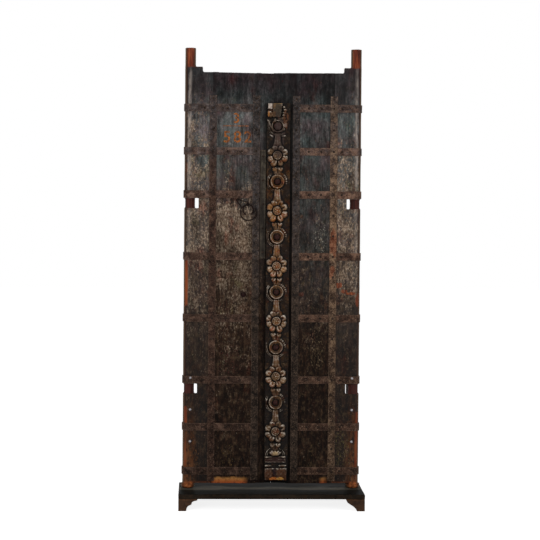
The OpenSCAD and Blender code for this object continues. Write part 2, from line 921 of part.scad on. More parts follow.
function eye_z() = strap_z(5) - eye_drop;
function staple_r() = 2.5;
function staple_x() = ring_x + eye_r * sin(eye_turn);
function eye_back_y() = -eye_standoff + eye_r * cos(eye_turn);

module ring_staple() {
    leg = 18;
    leg_r = 2;
    color("#3a2a24")
        union() {
            translate([-ring_x, -eye_standoff, eye_z()])
                rotate([0, 0, eye_turn])
                    rotate([0, 90, 0])
                        rotate_extrude($fn = 48)
                            translate([eye_r, 0]) circle(eye_iron_r, $fn = 24);
            translate([-staple_x(), 0, eye_z()]) {
                along_y(2 * staple_r(), eye_back_y(), plank_t + leg_r);
                translate([0, plank_t + leg_r + 0.1, 0])
                    wire_run([-leg, 0, 0], [leg, 0, 0], leg_r);
            }
        }
}

// A bent end of wire, hooked round the staple and lying on the plank.
module tie_wire() {
    lie = -wire_r - 0.1;
    hook_r = staple_r() + wire_r + 0.15;
    route = [[-staple_x(), lie, eye_z() + hook_r], [-ring_x, lie, eye_z() + 12],
             [-ring_x - 16, lie, eye_z() + 14], [-ring_x - 53, lie, eye_z() + 26],
             [-ring_x - 56, lie, eye_z() + 20], [-ring_x - 31, lie, eye_z() - 14]];
    color("#2b2320") {
        translate([-staple_x(), lie, eye_z()])
            rotate([90, 0, 0])
                rotate_extrude($fn = 48)
                    translate([hook_r, 0]) circle(wire_r, $fn = 24);
        for (k = [0 : len(route) - 2])
            wire_run(route[k], route[k + 1], wire_r);
    }
}

// The iron ring is open at the foot, one end beaten into a knob.
module ring_pull() {
    start = -60;
    sweep = 295;
    a = start + sweep;
    color("#3a2a24")
        translate([-ring_x, -eye_standoff, eye_z() - ring_r])
            rotate([90, 0, 0]) {
                rotate([0, 0, start])
                    rotate_extrude(angle = sweep, $fn = 96)
                        translate([ring_r, 0]) circle(ring_iron_r, $fn = 24);
                translate([ring_r * cos(start), ring_r * sin(start), 0])
                    sphere(ring_iron_r, $fn = 24);
                translate([ring_r * cos(a), ring_r * sin(a), 0])
                    sphere(ring_iron_r * 1.75, $fn = 32);
            }
}

// The wire loop is wound once round the ring beside the eye, and ends in the air.
module wire_loop() {
    wound_at = 108;
    coil_r = ring_iron_r + wire_r + 0.1;
    first = 103;
    sweep = 291;
    steps = 26;
    turn = [for (k = [0 : steps]) first + sweep * k / steps];
    color("#2b2320") {
        for (k = [0 : steps - 1])
            hull()
                for (a = [turn[k], turn[k + 1]])
                    translate([-ring_x + loop_r * cos(a), -eye_standoff - coil_r,
                               eye_z() - loop_r + loop_r * sin(a)])
                        sphere(wire_r, $fn = 8);
        translate([-ring_x + ring_r * cos(wound_at), -eye_standoff,
                   eye_z() - ring_r + ring_r * sin(wound_at)])
            rotate([0, 180 - wound_at, 0])
                rotate_extrude($fn = 24)
                    translate([coil_r, 0]) circle(wire_r, $fn = 8);
    }
}

stand_board();
stand_foot_left();
stand_foot_right();
upright_left();
upright_right();
foot_screws();
upright_screws();
stile_bolts();
bolt_nuts();
left_pivot_stile();
left_wide_plank();
left_meeting_stile();
left_ledge(1);  // left_ledge_1
left_ledge(2);  // left_ledge_2
left_ledge(3);  // left_ledge_3
left_ledge(4);  // left_ledge_4
left_strap(1);  // left_strap_1
left_strap(2);  // left_strap_2
left_strap(3);  // left_strap_3
left_strap(4);  // left_strap_4
left_strap(5);  // left_strap_5
left_strap(6);  // left_strap_6
left_strap(7);  // left_strap_7
left_strap(8);  // left_strap_8
left_outer_upright_strap();
left_inner_upright_strap();
left_nails();
left_cover_lath();
left_wooden_stud();
right_pivot_stile();
right_wide_plank();
right_meeting_stile();
right_ledge(1);  // right_ledge_1
right_ledge(2);  // right_ledge_2
right_ledge(3);  // right_ledge_3
right_ledge(4);  // right_ledge_4
right_strap(1);  // right_strap_1
right_strap(2);  // right_strap_2
right_strap(3);  // right_strap_3
right_strap(4);  // right_strap_4
right_strap(5);  // right_strap_5
right_strap(6);  // right_strap_6
right_strap(7);  // right_strap_7
right_strap(8);  // right_strap_8
right_outer_upright_strap();
right_inner_upright_strap();
right_nails();
right_wooden_stud();
right_iron_stud();
carved_bar();
carved_bar_nails();
ring_staple();
tie_wire();
ring_pull();
wire_loop();
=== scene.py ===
# %% [markdown]
# An old double-leaf pivot door, iron strapped and carved, bolted to a low black stand.
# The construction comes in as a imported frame, and every piece made here is fitted to it.
# Each step below says what a piece is, how it could be made, and why this way was chosen.

# %% Load the frame
import math
import random

import bmesh
import bpy
import numpy as np
from mathutils import Euler, Matrix, Vector


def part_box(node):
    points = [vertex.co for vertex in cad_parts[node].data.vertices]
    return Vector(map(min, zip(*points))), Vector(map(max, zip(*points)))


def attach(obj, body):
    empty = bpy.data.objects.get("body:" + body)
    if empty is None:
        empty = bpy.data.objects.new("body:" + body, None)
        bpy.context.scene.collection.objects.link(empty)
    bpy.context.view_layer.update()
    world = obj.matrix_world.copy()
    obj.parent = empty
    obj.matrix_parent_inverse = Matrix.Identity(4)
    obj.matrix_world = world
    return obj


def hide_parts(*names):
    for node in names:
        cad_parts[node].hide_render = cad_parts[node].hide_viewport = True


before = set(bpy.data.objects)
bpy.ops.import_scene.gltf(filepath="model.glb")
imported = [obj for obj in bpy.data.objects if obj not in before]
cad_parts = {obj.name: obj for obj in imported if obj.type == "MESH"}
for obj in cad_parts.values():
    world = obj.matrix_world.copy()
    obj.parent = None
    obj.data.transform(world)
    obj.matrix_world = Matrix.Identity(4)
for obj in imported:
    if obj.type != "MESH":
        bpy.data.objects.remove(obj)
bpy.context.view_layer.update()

# %% [markdown]
# Most pieces begin as a primitive that is shaped in edit mode. A few small helpers carry
# that work: they clear the selection, settle a new primitive so that its place lies in its
# mesh, and open a piece in edit mode with a chosen part of it selected.

# %% Helpers for modelling
UPRIGHT = (math.pi / 2, 0, 0)


def clear_selection():
    if bpy.context.object and bpy.context.object.mode != "OBJECT":
        bpy.ops.object.mode_set(mode="OBJECT")
    bpy.ops.object.select_all(action="DESELECT")


def only(piece):
    clear_selection()
    piece.select_set(True)
    bpy.context.view_layer.objects.active = piece


def settled(name, scale=(1, 1, 1)):
    piece = bpy.context.active_object
    piece.scale = scale
    piece.name = piece.data.name = name
    bpy.ops.object.transform_apply(location=True, rotation=True, scale=True)
    return piece


def block(name, middle, size):
    clear_selection()
    bpy.ops.mesh.primitive_cube_add(size=1, location=middle)
    return settled(name, size)


def sheet(name, middle, wide, tall, columns, rows):
    # a fine grid that stands upright and faces forward
    clear_selection()
    bpy.ops.mesh.primitive_grid_add(x_subdivisions=columns, y_subdivisions=rows, size=1,
                                    location=middle, rotation=UPRIGHT)
    return settled(name, (wide, tall, 1))


def edit(piece, kind="FACE"):
    only(piece)
    bpy.ops.object.mode_set(mode="EDIT")
    bpy.ops.mesh.select_mode(type=kind)
    bpy.ops.mesh.select_all(action="DESELECT")


def select_whole():
    bpy.ops.mesh.select_all(action="SELECT")


def pick(piece, test, kind="VERT"):
    # test gets the middle of each face or edge, or the place of each vertex, and its direction
    mesh = bmesh.from_edit_mesh(piece.data)
    for part in (*mesh.faces, *mesh.edges, *mesh.verts):
        part.select_set(False)
    if kind == "FACE":
        chosen = [face for face in mesh.faces if test(face.calc_center_median(), face.normal)]
    elif kind == "EDGE":
        chosen = [edge for edge in mesh.edges
                  if test((edge.verts[0].co + edge.verts[1].co) / 2,
                          edge.verts[1].co - edge.verts[0].co)]
    else:
        chosen = [vert for vert in mesh.verts if test(vert.co, vert.normal)]
    for part in chosen:
        part.select_set(True)
    mesh.select_flush_mode()
    bmesh.update_edit_mesh(piece.data)


def slice_across(low, high, way, count):
    # cuts the open piece into even slices
    for step in range(1, count):
        select_whole()
        bpy.ops.mesh.bisect(plane_co=[way[k] * (low[k] + (high[k] - low[k]) * step / count)
                                      for k in range(3)], plane_no=way)


def merge_all(threshold):
    select_whole()
    bpy.ops.mesh.remove_doubles(threshold=threshold)
    bpy.ops.mesh.normals_make_consistent(inside=False)


def done(piece):
    bpy.ops.object.mode_set(mode="OBJECT")
    return piece


def finish_with(piece, kind, **values):
    only(piece)
    modifier = piece.modifiers.new(kind.title(), kind)
    for key, value in values.items():
        setattr(modifier, key, value)
    bpy.ops.object.modifier_apply(modifier=modifier.name)
    return piece


def eased(piece, width, angle, segments=2):
    # rounds the arrises that turn by more than the angle
    return finish_with(piece, "BEVEL", width=width, segments=segments, limit_method="ANGLE",
                       angle_limit=math.radians(angle))


def joined(name, pieces):
    only(pieces[0])
    for piece in pieces[1:]:
        piece.select_set(True)
    bpy.ops.object.join()
    pieces[0].name = pieces[0].data.name = name
    return pieces[0]


def copied(piece, name, move=(0, 0, 0)):
    twin = piece.copy()
    twin.data = piece.data.copy()
    bpy.context.scene.collection.objects.link(twin)
    twin.name = twin.data.name = name
    twin.data.transform(Matrix.Translation(Vector(move)))
    return twin


def turn_faces(piece):
    edit(piece)
    select_whole()
    bpy.ops.mesh.flip_normals()
    return done(piece)


def mirrored(piece, name):
    twin = copied(piece, name)
    twin.data.transform(Matrix.Scale(-1, 4, (1, 0, 0)))
    return turn_faces(twin)


def smooth(piece, angle):
    only(piece)
    bpy.ops.object.shade_smooth_by_angle(angle=math.radians(angle))
    return piece


# %% [markdown]
# Old timber and forged iron are never flat. A Displace modifier pushes the surface in and
# out by a cloud pattern. A stretched empty serves as its ruler, so that the pattern can run
# long along the grain, and the ruler goes once the modifier is applied.

# %% Helpers for uneven surfaces
def roughen(piece, depth, size, stretch=(1, 1, 1), direction="NORMAL", mid=0.5, shift=0.0):
    texture = bpy.data.textures.new(piece.name + "_rough", "CLOUDS")
    texture.noise_scale = size
    texture.noise_depth = 2
    ruler = bpy.data.objects.new("ruler", None)
    bpy.context.scene.collection.objects.link(ruler)
    ruler.scale = stretch
    ruler.location = (shift, shift * 0.7, shift * 1.3)
    bpy.context.view_layer.update()
    finish_with(piece, "DISPLACE", texture=texture, texture_coords="OBJECT",
                texture_coords_object=ruler, strength=depth, mid_level=mid, direction=direction)
    bpy.data.objects.remove(ruler)
    bpy.data.textures.remove(texture)


def finer(node, name, voxel):
    # a merged copy of a construction piece, remeshed so that its joins and arrises are soft
    piece = copied(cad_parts[node], name)
    piece.parent = None
    piece.matrix_world = Matrix.Identity(4)
    for key in list(piece.keys()):
        del piece[key]
    edit(piece, "VERT")
    select_whole()
    bpy.ops.mesh.remove_doubles(threshold=0.00001)
    bpy.ops.mesh.dissolve_limited(angle_limit=math.radians(0.5))
    done(piece)
    return finish_with(piece, "REMESH", mode="VOXEL", voxel_size=voxel)


def give(piece, finish):
    piece.data.materials.clear()
    piece.data.materials.append(finishes[finish])


def place(piece, finish, slot, *nodes, body="door"):
    give(piece, finish)
    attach(piece, body)
    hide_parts(*nodes)
    print(f"{piece.name}: {len(piece.data.polygons)} faces")


# %% [markdown]
# Light, backdrop and finishes are all made of nodes. A node is put into the tree that is at
# work, and what leaves it is a flow. Flows can be added, subtracted, multiplied and divided,
# so that a mask reads like a sum. Colours are written as they look, in steps from 0 to 255.

# %% Helpers for nodes
def work_on(owner):
    # the nodes from here on go into this tree, which starts empty
    global tree
    owner.use_nodes = True
    tree = owner.node_tree
    tree.nodes.clear()


def put(kind, props=None, **inputs):
    # adds a node; an input is a value or a flow, and in0, in1 and so on go by number
    node = tree.nodes.new(kind)
    for key, value in (props or {}).items():
        setattr(node, key, value)
    for key, value in inputs.items():
        by_number = key.startswith("in") and key[2:].isdigit()
        socket = node.inputs[int(key[2:])] if by_number else node.inputs[key.replace("_", " ")]
        if isinstance(value, Flow):
            tree.links.new(value.socket, socket)
        else:
            socket.default_value = value
    return node


def flow(kind, props=None, out=0, **inputs):
    return Flow(put(kind, props, **inputs).outputs[out])


def reckon(operation, first, second=0.0, clamp=False):
    return flow("ShaderNodeMath", {"operation": operation, "use_clamp": clamp}, in0=first,
                in1=second)


class Flow:
    def __init__(self, socket):
        self.socket = socket

    def __add__(self, other):
        return reckon("ADD", self, other)

    def __sub__(self, other):
        return reckon("SUBTRACT", self, other)

    def __mul__(self, other):
        return reckon("MULTIPLY", self, other)

    def __truediv__(self, other):
        return reckon("DIVIDE", self, other)


def srgb(red, green, blue):
    def linear(value):
        value = value / 255
        return value / 12.92 if value <= 0.04045 else ((value + 0.055) / 1.055) ** 2.4
    return (linear(red), linear(green), linear(blue), 1.0)


def times(vector, factor):
    return flow("ShaderNodeVectorMath", {"operation": "SCALE"}, in0=vector, Scale=factor)


def axis(vector, letter):
    return flow("ShaderNodeSeparateXYZ", None, letter, in0=vector)


def spread(value, low, high, to_low=0.0, to_high=1.0):
    return flow("ShaderNodeMapRange", {"clamp": True}, in0=value, in1=low, in2=high,
                in3=to_low, in4=to_high)


def stretched(vector, scale):
    return flow("ShaderNodeMapping", None, Vector=vector, Scale=scale)


def noise(vector, scale, detail=4.0, rough=0.6, twist=0.0, z=None):
    # z under 1 draws the pattern out along the height
    vector = stretched(vector, (1, 1, z)) if z else vector
    return flow("ShaderNodeTexNoise", None, "Fac", Vector=vector, Scale=scale, Detail=detail,
                Roughness=rough, Distortion=twist)


def mix(mask, under, over, mode="MIX"):
    over = srgb(*over) if isinstance(over, tuple) else over
    return flow("ShaderNodeMix", {"data_type": "RGBA", "blend_type": mode}, 2, in0=mask,
                in6=under, in7=over)


def steps_of(value, stops):
    node = put("ShaderNodeValToRGB", None, Fac=value)
    elements = node.color_ramp.elements
    elements.remove(elements[1])
    for index, (where, colour) in enumerate(stops):
        stop = elements.new(where) if index else elements[0]
        stop.position = where
        stop.color = colour
    return Flow(node.outputs[0])


def ramp(value, *stops):
    # stops: where, and the red, green and blue there
    return steps_of(value, [(where, srgb(*colour)) for where, *colour in stops])


def seen_directly():
    # 1 for what the camera, a reflection or glass sees, 0 for the light that a surface gets
    rays = put("ShaderNodeLightPath").outputs
    camera_ray, glossy, through = (Flow(rays[f"Is {kind} Ray"])
                                   for kind in ("Camera", "Glossy", "Transmission"))
    return reckon("MAXIMUM", reckon("MAXIMUM", camera_ray, glossy), through)


# %% [markdown]
# The studio: a plain pale floor, two tall softboxes to the left and right of the camera, a
# wide one above, and a faint even fill from all round. The tall softboxes draw the long
# streaks on the round posts. The lamps are set so that a colour renders about as it is
# written. The backdrop is white to the camera and in reflections, and the floor keeps a soft
# shadow.

# %% Studio
WHITE = (1, 1, 1, 1)
floor_size, floor_glow, fill_strength = 30, 0.84, 0.24

world = bpy.data.worlds.new("studio")
bpy.context.scene.world = world
work_on(world)
backdrop = flow("ShaderNodeBackground", Color=WHITE, Strength=1.0)
fill = flow("ShaderNodeBackground", Color=(0.97, 0.98, 1, 1), Strength=fill_strength)
blend = flow("ShaderNodeMixShader", in0=seen_directly(), in1=fill, in2=backdrop)
put("ShaderNodeOutputWorld", Surface=blend)

clear_selection()
bpy.ops.mesh.primitive_plane_add(size=floor_size, location=(0, 0, 0))
floor = settled("floor")
floor_paint = bpy.data.materials.new("pale_floor")
work_on(floor_paint)
matt = flow("ShaderNodeBsdfDiffuse", Color=(0.8, 0.8, 0.8, 1))
glow = flow("ShaderNodeEmission", Color=WHITE, Strength=floor_glow)
lit = flow("ShaderNodeAddShader", in0=matt, in1=glow)
blend = flow("ShaderNodeMixShader", in0=seen_directly(), in1=matt, in2=lit)
put("ShaderNodeOutputMaterial", Surface=blend)
floor.data.materials.append(floor_paint)

for name, place_at, aim, width, height, power in (
        ("softbox_left", (-3.0, -5.2, 2.1), (0, 0, 1.1), 0.9, 3.0, 84),
        ("softbox_right", (4.4, -4.4, 2.1), (0, 0, 1.1), 0.9, 3.0, 66),
        ("softbox_top", (0, -2.6, 5.2), (0, 0, 1.2), 3.0, 1.6, 38)):
    lamp = bpy.data.lights.new(name, "AREA")
    lamp.shape = "RECTANGLE"
    lamp.size = width
    lamp.size_y = height
    lamp.energy = power
    holder = bpy.data.objects.new(name, lamp)
    bpy.context.scene.collection.objects.link(holder)
    holder.location = place_at
    holder.rotation_euler = (Vector(aim) - Vector(place_at)).to_track_quat("-Z", "Y").to_euler()

# %% [markdown]
# The camera stands a little left of the middle, at about the height of the ring pull, far
# enough off for a long lens. The photograph's upright lines hardly lean together, so the
# lens is shifted and the camera is only slightly turned, tipped and rolled.

# %% Camera
eye_at = Vector((-0.353, -7.24, 1.540))
turned_right, tipped_down, rolled = 0.0318, 0.0179, 0.0081
focal_px, centre_px = 1512.9, Vector((247.1, 211.2))
picture_px, sensor = 540, 36

lens = bpy.data.cameras.new("camera")
lens.sensor_width = sensor
lens.lens = sensor * focal_px / picture_px
lens.shift_x = 0.5 - centre_px.x / picture_px
lens.shift_y = centre_px.y / picture_px - 0.5
camera = bpy.data.objects.new("camera", lens)
bpy.context.scene.collection.objects.link(camera)
bpy.context.scene.camera = camera
facing = Euler((math.pi / 2 - tipped_down, 0, -turned_right)).to_matrix().to_4x4()
camera.matrix_world = Matrix.Translation(eye_at) @ facing @ Matrix.Rotation(rolled, 4, "Z")
bpy.context.scene.view_settings.view_transform = "Standard"
print("lens", round(lens.lens, 1), "mm, shift", round(lens.shift_x, 3), round(lens.shift_y, 3))

# %% [markdown]
# The finishes share a few effects, each built once as a node group: the grain of old timber,
# paint that has flaked off, mottled rust, worn edges, settled dust, and a mask that fades
# with height. A group takes Object coordinates and gives masks and heights back, so that the
# same effect can be set coarse or fine, strong or faint, in each finish.

# %% Shared effects
def new_group(name, recipe, **inputs):
    # the recipe gets the place and the other inputs, and returns what goes out, by label
    global tree
    tree = bpy.data.node_groups.new(name, "ShaderNodeTree")
    tree.interface.new_socket("Vector", in_out="INPUT", socket_type="NodeSocketVector")
    for label, value in inputs.items():
        tree.interface.new_socket(label, in_out="INPUT",
                                  socket_type="NodeSocketFloat").default_value = value
    given = tree.nodes.new("NodeGroupInput").outputs
    made = recipe(*[Flow(given[label]) for label in ("Vector", *inputs)])
    for label in made:
        tree.interface.new_socket(label, in_out="OUTPUT", socket_type="NodeSocketFloat")
    put("NodeGroupOutput", None, **made)
    return tree


def timber_grain(spot, fineness):
    spot = times(spot, fineness)
    streak = noise(spot, 95, 5, 0.62, 0.4, z=0.05)
    pore = noise(spot, 420, 3, 0.6, z=0.06)
    return {"Streak": streak, "Pore": pore, "Height": streak * 0.65 + pore * 0.35}


def flaked_paint(spot, amount):
    mixed = noise(spot, 105, 7, 0.75, z=0.72) * 0.62 + noise(spot, 16, 4, 0.65, z=0.6) * 0.38
    over = mixed - spread(amount, 0.0, 1.0, 0.68, 0.34)
    return {"Bare": spread(over, -0.015, 0.035)}


def mottled_rust(spot, size):
    spot = times(spot, size)
    speckle = noise(spot, 260, 5, 0.7)
    pits = flow("ShaderNodeTexVoronoi", {"feature": "SMOOTH_F1"}, "Distance", Vector=spot,
                Scale=190.0)
    return {"Blotch": noise(spot, 26, 4, 0.62, 0.6), "Speckle": speckle,
            "Height": speckle * 0.6 + pits * 0.4}


def worn_edges(spot, amount):
    point = flow("ShaderNodeNewGeometry", None, "Pointiness")
    worn = spread(point, 0.51, 0.56) * spread(noise(spot, 70, 4, 0.65), 0.38, 0.6)
    return {"Worn": reckon("MULTIPLY", worn, amount, clamp=True),
            "Hollow": spread(point, 0.49, 0.44)}


def facing_up():
    return axis(flow("ShaderNodeNewGeometry", None, "Normal"), "Z")


def settled_dust(spot, amount):
    dust = spread(facing_up(), 0.35, 0.95) * spread(noise(spot, 30, 5, 0.7), 0.3, 0.65)
    return {"Dust": reckon("MULTIPLY", dust, amount, clamp=True)}


def ragged_rise(spot, start, end, ragged):
    tear = (noise(spot, 26, 5, 0.65, z=0.22) - 0.5) * (ragged * 2.0)
    return {"Mask": spread(axis(spot, "Z") + tear, start, end)}


grain_group = new_group("timber grain", timber_grain, Fineness=1.0)
flake_group = new_group("flaked paint", flaked_paint, Amount=0.5)
rust_group = new_group("mottled rust", mottled_rust, Size=1.0)
edge_group = new_group("worn edges", worn_edges, Amount=0.5)
dust_group = new_group("settled dust", settled_dust, Amount=0.5)
rise_group = new_group("ragged rise", ragged_rise, From=0.0, To=1.0, Ragged=0.1)
print("effects:", [group.name for group in bpy.data.node_groups])


# %% Helpers for finishes
TALL = 2.2
finishes = {}


def new_finish(name):
    # opens a finish and returns the place on the piece that it is laid out by
    finishes[name] = bpy.data.materials.new(name)
    work_on(finishes[name])
    return flow("ShaderNodeTexCoord", None, "Object")


def effect(group, spot, **inputs):
    node = put("ShaderNodeGroup", {"node_tree": group}, Vector=spot, **inputs)
    return {socket.name: Flow(socket) for socket in node.outputs}


def rise(spot, start, end, ragged):
    return effect(rise_group, spot, From=start, To=end, Ragged=ragged)["Mask"]


def dusted(spot, colour, amount, tone):
    return mix(effect(dust_group, spot, Amount=amount)["Dust"], colour, tone)


def surface(colour, roughness, height=None, bump=0.3, depth=0.001, metal=0.0, shine=0.1,
            alpha=1.0):
    inputs = {}
    if height:
        raised = flow("ShaderNodeBump", Strength=bump, Distance=depth, Height=height)
        inputs["Normal"] = raised
    shader = flow("ShaderNodeBsdfPrincipled", Base_Color=colour, Roughness=roughness,
                  Metallic=metal, Alpha=alpha, Specular_IOR_Level=shine, **inputs)
    put("ShaderNodeOutputMaterial", Surface=shader)


def shares(up, *stops):
    # stops: height from the floor in metres, and the share there
    return steps_of(up, [(z / TALL, (value, value, value, 1)) for z, value in stops])


def lightened(colour, up, stops):
    # stops: height, and how many times as bright, up to 4; the brightening high up is partly paint that
    # differs with height and partly a painted sheen of the lamps above
    return times(colour, shares(up, *[(z, value / 4) for z, value in stops]) * 4.0)


def patch_at(spot, middle, size, ragged):
    # 1 inside a ragged oval, in the X and Z of the door
    moved = flow("ShaderNodeMapping", Vector=spot, Scale=(1 / size[0], 0, 1 / size[1]),
                 Location=(-middle[0] / size[0], 0, -middle[1] / size[1]))
    away = flow("ShaderNodeVectorMath", {"operation": "LENGTH"}, "Value", in0=moved)
    torn = (noise(spot, 60, 5, 0.7, z=0.5) - 0.5) * (ragged * 3)
    return spread(away + torn, 1.05, 0.9)


def flecked(spot, colour, places):
    # scattered flecks of another tone: (middle, size, tone, share)
    fleck = noise(spot, 230, 6, 0.75, z=0.42)
    broken = spread(noise(spot, 130, 3, 0.6, z=0.7), 0.5, 0.58)
    for middle, size, tone, share in places:
        there = patch_at(spot, middle, size, 0.9) * spread(fleck, 0.53, 0.61, 0.0, share)
        colour = mix(there * broken, colour, tone)
    return colour


# %% [markdown]
# The leaves were painted slate grey long ago. High up, where no hand reaches, the paint has
# only greyed along the grain. In the middle it is scraped to pale bare flecks, and low down
# it is dark with soot and oil. Each plank gets the same three layers, timber, soot and paint,
# with its own share of each up its height, given at a few heights from the floor to the top.
# Broad clouds, dark pores and tiny chips are laid over them, so that no two hands' breadths
# of the surface look alike.

# %% Finish: painted planks
def timber_layers(place_at, tint, top_tone, soot, paint, bare, light, shift=0.0, flecks=()):
    # returns the colour, roughness and height of old painted wood, its grain and the way up
    spot = flow("ShaderNodeVectorMath", {"operation": "ADD"}, in0=place_at, in1=(0, shift, 0))
    grain = effect(grain_group, spot)
    up = axis(spot, "Z") / TALL + (noise(spot, 9, 4, z=0.5) - 0.5) * 0.16
    timber = ramp(grain["Streak"], (0.28, 30, 20, 14), (0.5, 78, 56, 42), (0.7, 136, 104, 80))
    dark = ramp(noise(spot, 75, 6, 0.75, z=0.35), (0.32, 12, 9, 8), (0.52, 38, 26, 20),
                (0.74, 84, 60, 46))
    painted = ramp(grain["Streak"] * 0.35 + noise(spot, 70, 7, 0.78, z=0.6) * 0.65,
                   (0.3, 44, 45, 46), (0.5, 98, 96, 95), (0.7, 160, 156, 152))
    tinted = ramp(noise(spot, 10, 6, 0.7, z=0.7), (0.38, 90, 126, 126), (0.5, 120, 130, 131),
                  (0.62, 136, 112, 120))
    painted = mix(tint, painted, mix(1.0, painted, tinted, "OVERLAY"))
    colour = mix(shares(up, *soot), timber, dark)
    colour = mix(shares(up, *paint), colour, painted)
    scraped = effect(flake_group, spot, Amount=shares(up, *bare))["Bare"]
    pale = ramp(noise(spot, 150, 5, 0.7, z=0.5), (0.36, 74, 56, 44), (0.5, 128, 108, 90),
                (0.64, 190, 172, 150))
    colour = mix(scraped * 0.85, colour, pale)
    cloud = noise(spot, 17, 5, 0.62, z=0.45)
    colour = mix(spread(cloud, 0.34, 0.56, 0.85, 0.0), colour, (112, 104, 100), "MULTIPLY")
    colour = mix(spread(cloud, 0.54, 0.72, 0.0, 0.45), colour, (206, 200, 194), "OVERLAY")
    rusty = spread(noise(spot, 13, 5, 0.65, z=0.5), 0.54, 0.66)
    colour = mix(rusty * 0.6, colour, mix(1.0, colour, (180, 100, 84), "OVERLAY"))
    mossy = spread(noise(spot, 15, 5, 0.65, 0.3, z=0.6), 0.56, 0.68)
    colour = mix(mossy * 0.5, colour, mix(1.0, colour, (122, 140, 92), "OVERLAY"))
    deep = spread(grain["Pore"], 0.34, 0.5, 0.6, 0.0)
    colour = mix(deep, colour, (80, 70, 64), "MULTIPLY")
    mottled = noise(spot, 48, 6, 0.75, z=0.6)
    colour = mix(spread(mottled, 0.36, 0.52, 0.65, 0.0), colour, (120, 108, 100), "MULTIPLY")
    worn_low = spread(mottled, 0.52, 0.68, 0.0, 0.5) * spread(up, 0.5, 0.6, 1.0, 0.0)
    colour = mix(worn_low, colour, (98, 80, 60))
    chip = noise(spot, 210, 3, 0.6, z=0.7)
    colour = mix(spread(chip, 0.67, 0.73, 0.0, 0.6), colour, (150, 136, 118))
    colour = flecked(place_at, lightened(colour, up, light), flecks)
    top = rise(place_at, 1.86, 2.0, 0.06) * 0.9
    colour = mix(top, colour, top_tone, "MULTIPLY")
    rough = spread(grain["Pore"], 0.3, 0.7, 0.46, 0.74)
    return colour, rough, grain["Height"] - scraped * 0.25, grain, up


def raw_back(spot, colour):
    # behind, the planks were never painted: plain brown timber, grey with age
    plain = ramp(effect(grain_group, spot, Fineness=0.8)["Streak"], (0.25, 52, 38, 27),
                 (0.5, 96, 74, 54), (0.75, 134, 110, 86))
    return mix(spread(axis(spot, "Y"), 0.006, 0.014), colour, plain)


def plank_finish(name, low_edge=None, shade=None, **layers):
    spot = new_finish(name)
    colour, rough, raised, grain, up = timber_layers(spot, 0.7, (176, 158, 164), **layers)
    across = axis(spot, "X")
    if low_edge:
        # the foot of the leaf has rubbed on the sill down to raw orange wood
        start, end = low_edge
        inside = spread(across, start, start + 0.02) * spread(across, end, end - 0.03)
        low_share = axis(spot, "Z") + noise(stretched(spot, (0.5, 1, 1)), 60, 5, 0.7) * 0.02
        fresh = mix(spread(low_share, 0.115, 0.136), srgb(176, 84, 42), (176, 122, 68))
        worn = (inside * rise(spot, 0.135, 0.126, 0.012)
                * spread(noise(spot, 90, 5, 0.7), 0.34, 0.5, 0.4, 0.95))
        colour = mix(worn, colour, fresh)
    if shade:
        # painted shadow: the planks are darkened beside the carved bar, which stands proud of them
        painted_bar_shadow = spread(across, *shade, 0.9, 0.0) * spread(axis(spot, "Z"), 1.96, 1.9)
        colour = mix(painted_bar_shadow, colour, (40, 32, 28), "MULTIPLY")
    colour = dusted(spot, raw_back(spot, colour), 0.4, (92, 84, 76))
    surface(colour, rough, raised, bump=0.55, depth=0.0012, shine=0.05)


plank_finish(
    "left_plank_paint",
    soot=((0.1, 1.0), (0.6, 0.95), (0.95, 0.7), (1.2, 0.55), (2.0, 0.5)),
    paint=((0.9, 0.0), (1.25, 0.1), (1.45, 0.5), (1.7, 0.85), (2.0, 1.0)),
    bare=((0.1, 0.2), (0.4, 0.26), (0.65, 0.36), (1.0, 0.5), (1.2, 0.66), (1.42, 0.66),
          (1.55, 0.34), (1.75, 0.18), (2.0, 0.1)),
    light=((0.1, 1.1), (0.9, 1.15), (1.15, 0.9), (1.42, 1.4), (1.65, 1.75), (1.88, 2.3), (1.96, 1.2)),
    low_edge=(-0.29, -0.108),
    flecks=(((-0.208, 0.21), (0.03, 0.09), (136, 110, 66), 0.6),
            ((-0.2, 0.69), (0.055, 0.1), (84, 44, 42), 1.0),
            ((-0.235, 0.92), (0.035, 0.09), (88, 50, 44), 0.8)))
plank_finish(
    "left_meeting_paint",
    soot=((0.1, 1.0), (0.9, 0.95), (1.3, 0.8), (2.0, 0.6)),
    paint=((0.9, 0.0), (1.5, 0.4), (1.8, 0.9), (2.0, 0.95)),
    bare=((0.1, 0.15), (0.8, 0.22), (1.2, 0.34), (1.6, 0.24), (2.0, 0.12)),
    light=((0.1, 1.1), (1.5, 1.1), (1.88, 1.5), (1.96, 1.4)),
    shade=(-0.030, -0.052), shift=1.0)
plank_finish(
    "right_plank_paint",
    soot=((0.1, 1.0), (0.7, 1.0), (1.2, 0.9), (1.6, 0.8), (2.0, 0.7)),
    paint=((0.8, 0.0), (1.1, 0.35), (1.5, 0.7), (1.8, 0.9), (2.0, 0.95)),
    bare=((0.1, 0.16), (0.6, 0.18), (0.9, 0.36), (1.15, 0.34), (1.3, 0.34), (1.6, 0.26), (2.0, 0.16)),
    light=((0.1, 1.15), (0.55, 0.9), (0.9, 1.15), (1.4, 1.2), (1.65, 1.3), (1.88, 1.5), (1.96, 0.9)),
    low_edge=(0.232, 0.275), shift=2.0,
    flecks=(((0.228, 1.29), (0.036, 0.075), (190, 182, 164), 0.9),
            ((0.19, 1.62), (0.05, 0.06), (140, 136, 126), 0.3),
            ((0.217, 0.75), (0.036, 0.11), (160, 138, 108), 0.8),
            ((0.15, 0.93), (0.04, 0.05), (140, 120, 96), 0.5),
            ((0.2, 0.22), (0.03, 0.06), (120, 100, 70), 0.5)))
